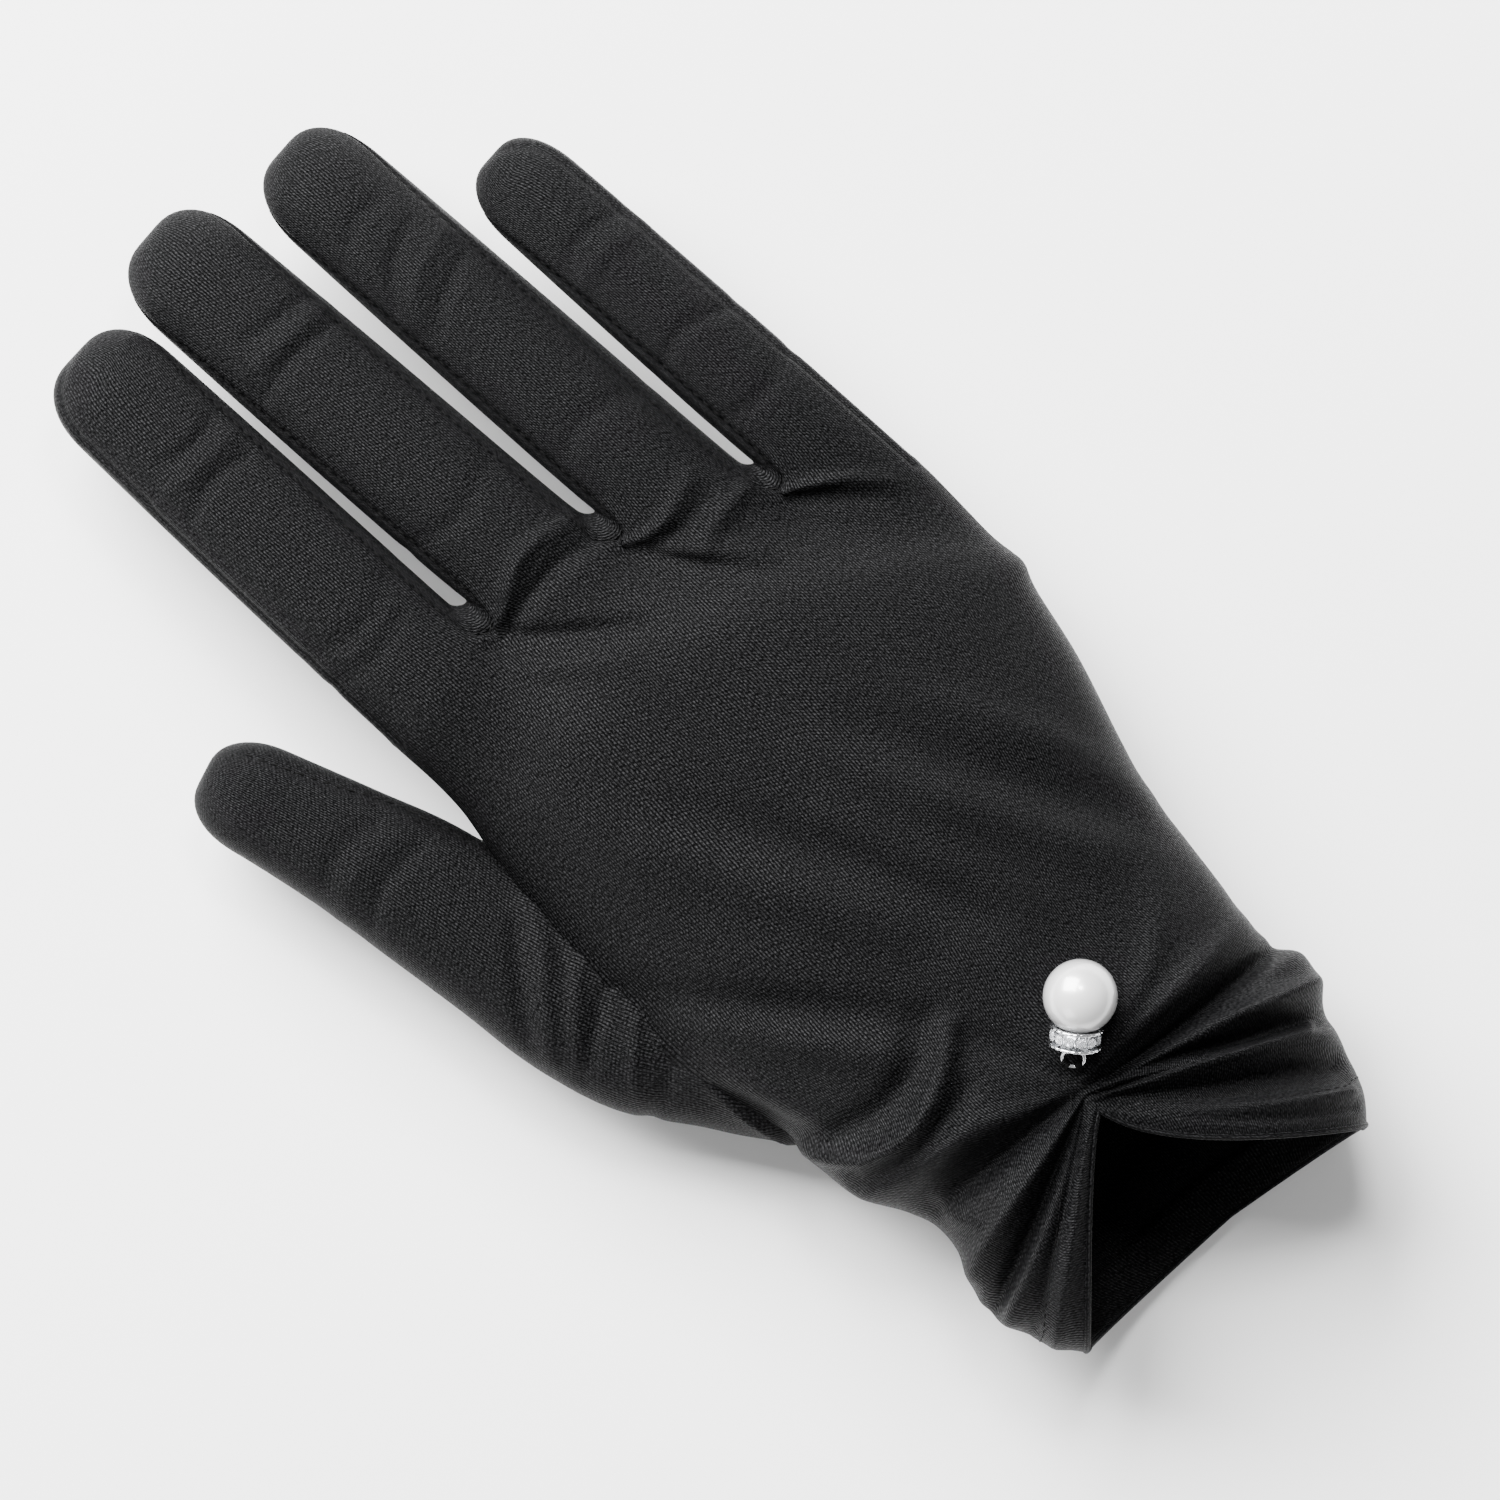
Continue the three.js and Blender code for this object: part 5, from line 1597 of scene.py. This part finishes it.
# %% The charm's frame
PEARL_DIAMETER = 12.0
RONDELLE_DIAMETER = 8.6
RONDELLE_HEIGHT = 3.3
RIM_THICKNESS = 0.45
PEARL_SINK = 1.1
PIN_HOLE = 0.55
EYE_DIAMETER = 4.3
EYE_BEND = np.radians(27.0)
WIRE_DIAMETER = 0.7
CHARM_GAP = 0.2
CHARM_BEARING = np.radians(38.9)
CHARM_TILT = np.radians(16.0)
pearl_low, pearl_high = (np.array(corner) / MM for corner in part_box("pearl_bead"))
pearl_middle = (pearl_low + pearl_high) / 2
flat_way = np.array([np.cos(CHARM_BEARING), np.sin(CHARM_BEARING), 0])
charm_up = np.cos(CHARM_TILT) * flat_way + np.sin(CHARM_TILT) * SKY
charm_x = np.sin(CHARM_TILT) * flat_way - np.cos(CHARM_TILT) * SKY
charm_y = np.array([-np.sin(CHARM_BEARING), np.cos(CHARM_BEARING), 0])
pearl_height = RONDELLE_HEIGHT - PEARL_SINK + CHARM_GAP + PEARL_DIAMETER / 2
charm_origin = pearl_middle - pearl_height * charm_up


def on_charm(point):
    """Points given in the charm's own frame, put in the part's frame."""
    axes = np.stack([charm_x, charm_y, charm_up])
    return charm_origin + point @ axes


def turned(profile, sides, lobes=0, lobe_depth=0.0):
    """A solid of revolution: each (radius, height) of the profile swept round the axis,
    with the radius waving by lobe_depth where lobes are asked for."""
    radius, height = np.array(profile, float).T[..., None]
    turn = np.linspace(0, 2 * np.pi, sides, endpoint=False)[None, :]
    reach = radius * (1 + lobe_depth * np.cos(lobes * turn))
    x, y, z = reach * np.cos(turn), reach * np.sin(turn), 0 * reach + height
    return on_charm(np.stack([x, y, z], axis=-1))


print("Charm at", np.round(charm_origin, 1), "pearl middle", np.round(pearl_middle, 1))

# %% [markdown]
# The charm's pearl is lacquered, so it has a clear coat over a soft white body, whose
# colour is painted greyer towards its edge as painted shade. The metal is bright silver
# plate, faintly scratched, and the stones are clear glass. Gloss and glass stay in the
# shader's own sockets.

# %% Pearl, metal and glass
# The pearl's white, and the grey that its colour is painted towards the rim as painted shade.
PEARL_WHITE = (0.70, 0.695, 0.69)
PEARL_RIM_SHADE = (0.24, 0.24, 0.245)
PEARL_GRAIN = 160
PEARL_DRIFT = (0.3, -0.15)
RIM_SHADE_BLEND = 0.35


def pearl_material():
    """White pearl lacquer: a clear coat over a soft body whose tone drifts slightly, and whose
    colour is painted grey towards the rim as painted shade.
    """
    material, tree, shader = new_material(
        "pearl_lacquer", Roughness=0.3, Metallic=0.25, Coat_Weight=1.0, Coat_Roughness=0.06
    )
    # Painted shade: the facing weight greys the pearl's colour towards its rim.
    rim_shade_weight = node(tree, "ShaderNodeLayerWeight", (-900, 300))
    rim_shade_weight.inputs["Blend"].default_value = RIM_SHADE_BLEND
    tone = grain_tone(tree, PEARL_GRAIN)
    drift = maths(tree, "MULTIPLY_ADD", (-500, 200), tone, *PEARL_DRIFT)
    edge = maths(tree, "ADD", (-400, 250), rim_shade_weight.outputs["Facing"], drift)
    colour = colour_between(tree, edge, (-200, 100), PEARL_WHITE, PEARL_RIM_SHADE)
    tree.links.new(colour, shader.inputs["Base Color"])
    return material


def glossy_material(name, rough_range, **settings):
    """A bright material whose colour follows the grain, and whose roughness starts from
    the first value of its range and rises by the second with it."""
    material, tree, shader, tone = grained_material(name, **settings)
    rough = maths(tree, "MULTIPLY_ADD", (-400, -100), tone, rough_range[1], rough_range[0])
    tree.links.new(rough, shader.inputs["Roughness"])
    return material


pearl_lacquer = pearl_material()
silver = glossy_material(
    "silver_plate",
    (0.1, 0.16),
    scale=900,
    dark=(0.72, 0.73, 0.75),
    light=(0.86, 0.87, 0.88),
    Metallic=1.0,
)
crystal = glossy_material(
    "cut_glass",
    (0.01, 0.03),
    scale=700,
    dark=(0.86, 0.88, 0.92),
    light=(0.99, 0.99, 1.0),
    IOR=1.6,
    Metallic=0.0,
    Transmission_Weight=0.85,
)
print("Materials", [made.name for made in (pearl_lacquer, silver, crystal)])

# %% [markdown]
# The bead is a ball drilled from below for its pin. Its profile is an arc from the
# hole's edge to the top, and then the hole's blind end, swept round the charm's axis.

# %% The pearl
PEARL_RADIUS = PEARL_DIAMETER / 2
HOLE_DEPTH = 0.2
PEARL_STEPS = 44
PEARL_SIDES = 88
arc = np.linspace(np.arcsin(PIN_HOLE / PEARL_RADIUS), np.pi, PEARL_STEPS)
pearl_arc = zip(PEARL_RADIUS * np.sin(arc), pearl_height - PEARL_RADIUS * np.cos(arc))
hole_end = pearl_height + HOLE_DEPTH
pearl_profile = [(0, hole_end), (PIN_HOLE, hole_end), *pearl_arc]
pearl = surface("pearl", [turned(pearl_profile, PEARL_SIDES)], wrap=True)
finish_piece(pearl, "pearl", pearl_lacquer, "pearl_bead")

# %% [markdown]
# A rondelle is two rims on a core, with stones set between them. The upper rim is
# dished to take the pearl. Each rim's edge is rounded, with 24 shallow lobes where the
# metal is pressed round the stones. The stones are the CAD's own cut solids in glass.

# %% The rondelle
CORE_RADIUS = 2.75
RIM_SIDES = 144
RIM_LOBES = 24
LOBE_DEPTH = 0.012
EDGE_STEPS = 9
DISH_STEPS = 10
rim_radius = RONDELLE_DIAMETER / 2
dish_radius = PEARL_RADIUS + CHARM_GAP
dish_mouth = np.sqrt(dish_radius**2 - (pearl_height - RONDELLE_HEIGHT) ** 2)


def round_edge(low, high):
    """The rounded outer edge of a rim: a half circle between two heights."""
    half, middle = (high - low) / 2, (low + high) / 2
    turn = np.linspace(-np.pi / 2, np.pi / 2, EDGE_STEPS)
    return [*zip(rim_radius - half + half * np.cos(turn), middle + half * np.sin(turn))]


def dish(radius):
    """Height of the dished top, which follows the pearl's round."""
    return pearl_height - np.sqrt(dish_radius**2 - radius**2)


upper_low = RONDELLE_HEIGHT - RIM_THICKNESS
core_top = dish(CORE_RADIUS) - RIM_THICKNESS
lower_rim = [
    (PIN_HOLE, 0.0),
    *round_edge(0, RIM_THICKNESS),
    (CORE_RADIUS, RIM_THICKNESS),
    (PIN_HOLE, RIM_THICKNESS),
    (PIN_HOLE, 0.0),
]
upper_rim = [
    (CORE_RADIUS, core_top),
    (dish_mouth, upper_low),
    *round_edge(upper_low, RONDELLE_HEIGHT),
    *((radius, dish(radius)) for radius in np.linspace(dish_mouth, PIN_HOLE, DISH_STEPS)),
    (PIN_HOLE, RIM_THICKNESS),
    (CORE_RADIUS, RIM_THICKNESS),
    (CORE_RADIUS, core_top),
]
rims = [turned(rim, RIM_SIDES, RIM_LOBES, LOBE_DEPTH) for rim in (lower_rim, upper_rim)]
rondelle = surface("rondelle_rims", rims, wrap=True)
finish_piece(rondelle, "metal", silver, "rondelle")
stones = [cad for name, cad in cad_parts.items() if name.startswith("stone")]
for stone in stones:
    stone.material_slots[0].material = crystal
print(len(stones), "stones in glass")

# %% [markdown]
# The pin is one wire: a straight shank that carries ring and pearl, bent into a round
# eye below them. A few turns of thread go round the eye and through the cloth, each a
# loop that is tilted a little by chance, with fixed seeds.

# %% The wire eye
WIRE_SIDES = 12
EYE_STEPS = 65
SHANK_STEPS = 12
SHANK_FOOT = 0.1
wire = WIRE_DIAMETER / 2
eye_radius = EYE_DIAMETER / 2 - wire
eye_top = np.array([0, 0, -CHARM_GAP - wire])
eye_way = np.array([np.sin(EYE_BEND), 0, -np.cos(EYE_BEND)])
eye_side = np.array([0, 1, 0])
eye_middle = eye_top + eye_radius * eye_way


def on_eye(swing):
    """Points of the eye's middle line at angles from where the shank meets it."""
    swing = np.asarray(swing)[..., None]
    across, beside = eye_radius * np.cos(swing), eye_radius * np.sin(swing)
    return eye_middle - across * eye_way + beside * eye_side


eye_ring = on_eye(np.linspace(0, 2 * np.pi, EYE_STEPS))
shank = np.outer(np.linspace(eye_top[2] - SHANK_FOOT, pearl_height, SHANK_STEPS), SKY)
eye_grids = [
    tube(on_charm(eye_ring), wire, WIRE_SIDES, True),
    tube(on_charm(shank), wire, WIRE_SIDES),
]
eye = surface("wire_eye", eye_grids, wrap=True, flip=True)
finish_piece(eye, "metal", silver, "eye_pin")

# %% The thread round the eye
THREAD_RADIUS = 0.15
THREAD_STEP = 0.3
THREAD_TILT = 0.25
LOOP_OUT = 0.62
LOOP_ROUND = 0.75
LOOP_STEPS = 33
THREAD_SIDES = 8
THREAD_COUNT = 4
THREAD_PLACES = ((140, 3), (215, 5))


def thread_turns(swing, turns, seed):
    """Turns of thread round the eye's far wire, each an ellipse that is slightly tilted
    and shifted along the wire, and goes down to the cloth."""
    draw = np.random.default_rng(seed)
    centre = on_eye(swing)
    outward = unit(centre - eye_middle)
    beside = np.cross(outward, np.array([1.0, 0, 0]))
    loop = np.linspace(0, 2 * np.pi, LOOP_STEPS)[:, None]
    grids = []
    for step in range(turns):
        shift = (step - (turns - 1) / 2) * THREAD_STEP
        around = np.array([1.0, draw.uniform(-THREAD_TILT, THREAD_TILT), 0])
        ring = centre + shift * beside
        ring = ring + LOOP_OUT * np.cos(loop) * outward + LOOP_ROUND * np.sin(loop) * around
        grids.append(tube(on_charm(ring), THREAD_RADIUS, THREAD_SIDES, True))
    return grids


turns = []
for degrees, seed in THREAD_PLACES:
    turns += thread_turns(np.radians(degrees), THREAD_COUNT, seed)
thread_piece = surface("thread_turns", turns, wrap=True, flip=True)
finish_piece(thread_piece, "thread", thread, "sewing_thread")

# %% [markdown]
# A plain pale floor lies just under the glove, large enough to fill the camera's view
# from every side. It is stage, not part of the object.

# %% The floor
FLOOR_SIZE = 2600.0
FLOOR_GAP = 1.0
FLOOR_SHIFT = 80
floor_line = np.linspace(-FLOOR_SIZE / 2, FLOOR_SIZE / 2, 3)
floor_x, floor_y = np.meshgrid(floor_line, floor_line + FLOOR_SHIFT)
floor_grid = np.stack([floor_x, floor_y, 0 * floor_x + low_corner[2] - FLOOR_GAP], axis=-1)
floor = surface("floor", [floor_grid])
paper = grained_material(
    "pale_paper",
    scale=4,
    dark=(0.965, 0.965, 0.965),
    light=(0.975, 0.975, 0.975),
    Roughness=0.9,
    Specular_IOR_Level=0.2,
)[0]
floor.data.materials.append(paper)

# %% [markdown]
# Black satin shows its folds only as light slides off their ridges. So the strongest
# light is a large soft one beyond the fingertips, about 40 degrees up. A small weak one
# stands higher and lifts the shaded sides, and a third draws the edge on the thumb's side.


# %% The lights
def soft_light(name, place, size, power):
    """A square area light at a place, facing AIM."""
    data = bpy.data.lights.new(name, "AREA")
    data.size = size * MM
    data.energy = power
    light = bpy.data.objects.new(name, data)
    back = unit(np.array(place, float) - AIM)
    right = unit(np.cross(PICTURE_UP, back))
    light.matrix_world = Matrix(placed([right, np.cross(back, right), back], np.array(place)))
    bpy.context.scene.collection.objects.link(light)
    print(name, "of", power, "watts at", place)


AIM = np.array([0.0, 80.0, 0.0])
WORLD_LIGHT = 0.38
soft_light("key_light", place=(150, 1150, 950), size=1150, power=150)
soft_light("fill_light", place=(450, 450, 1200), size=260, power=12)
soft_light("edge_light", place=(-900, -150, 420), size=500, power=3)
world = bpy.data.worlds.new("studio")
world.use_nodes = True
background = world.node_tree.nodes["Background"]
background.inputs["Color"].default_value = (1, 1, 1, 1)
background.inputs["Strength"].default_value = WORLD_LIGHT
bpy.context.scene.world = world
print("World light", WORLD_LIGHT)
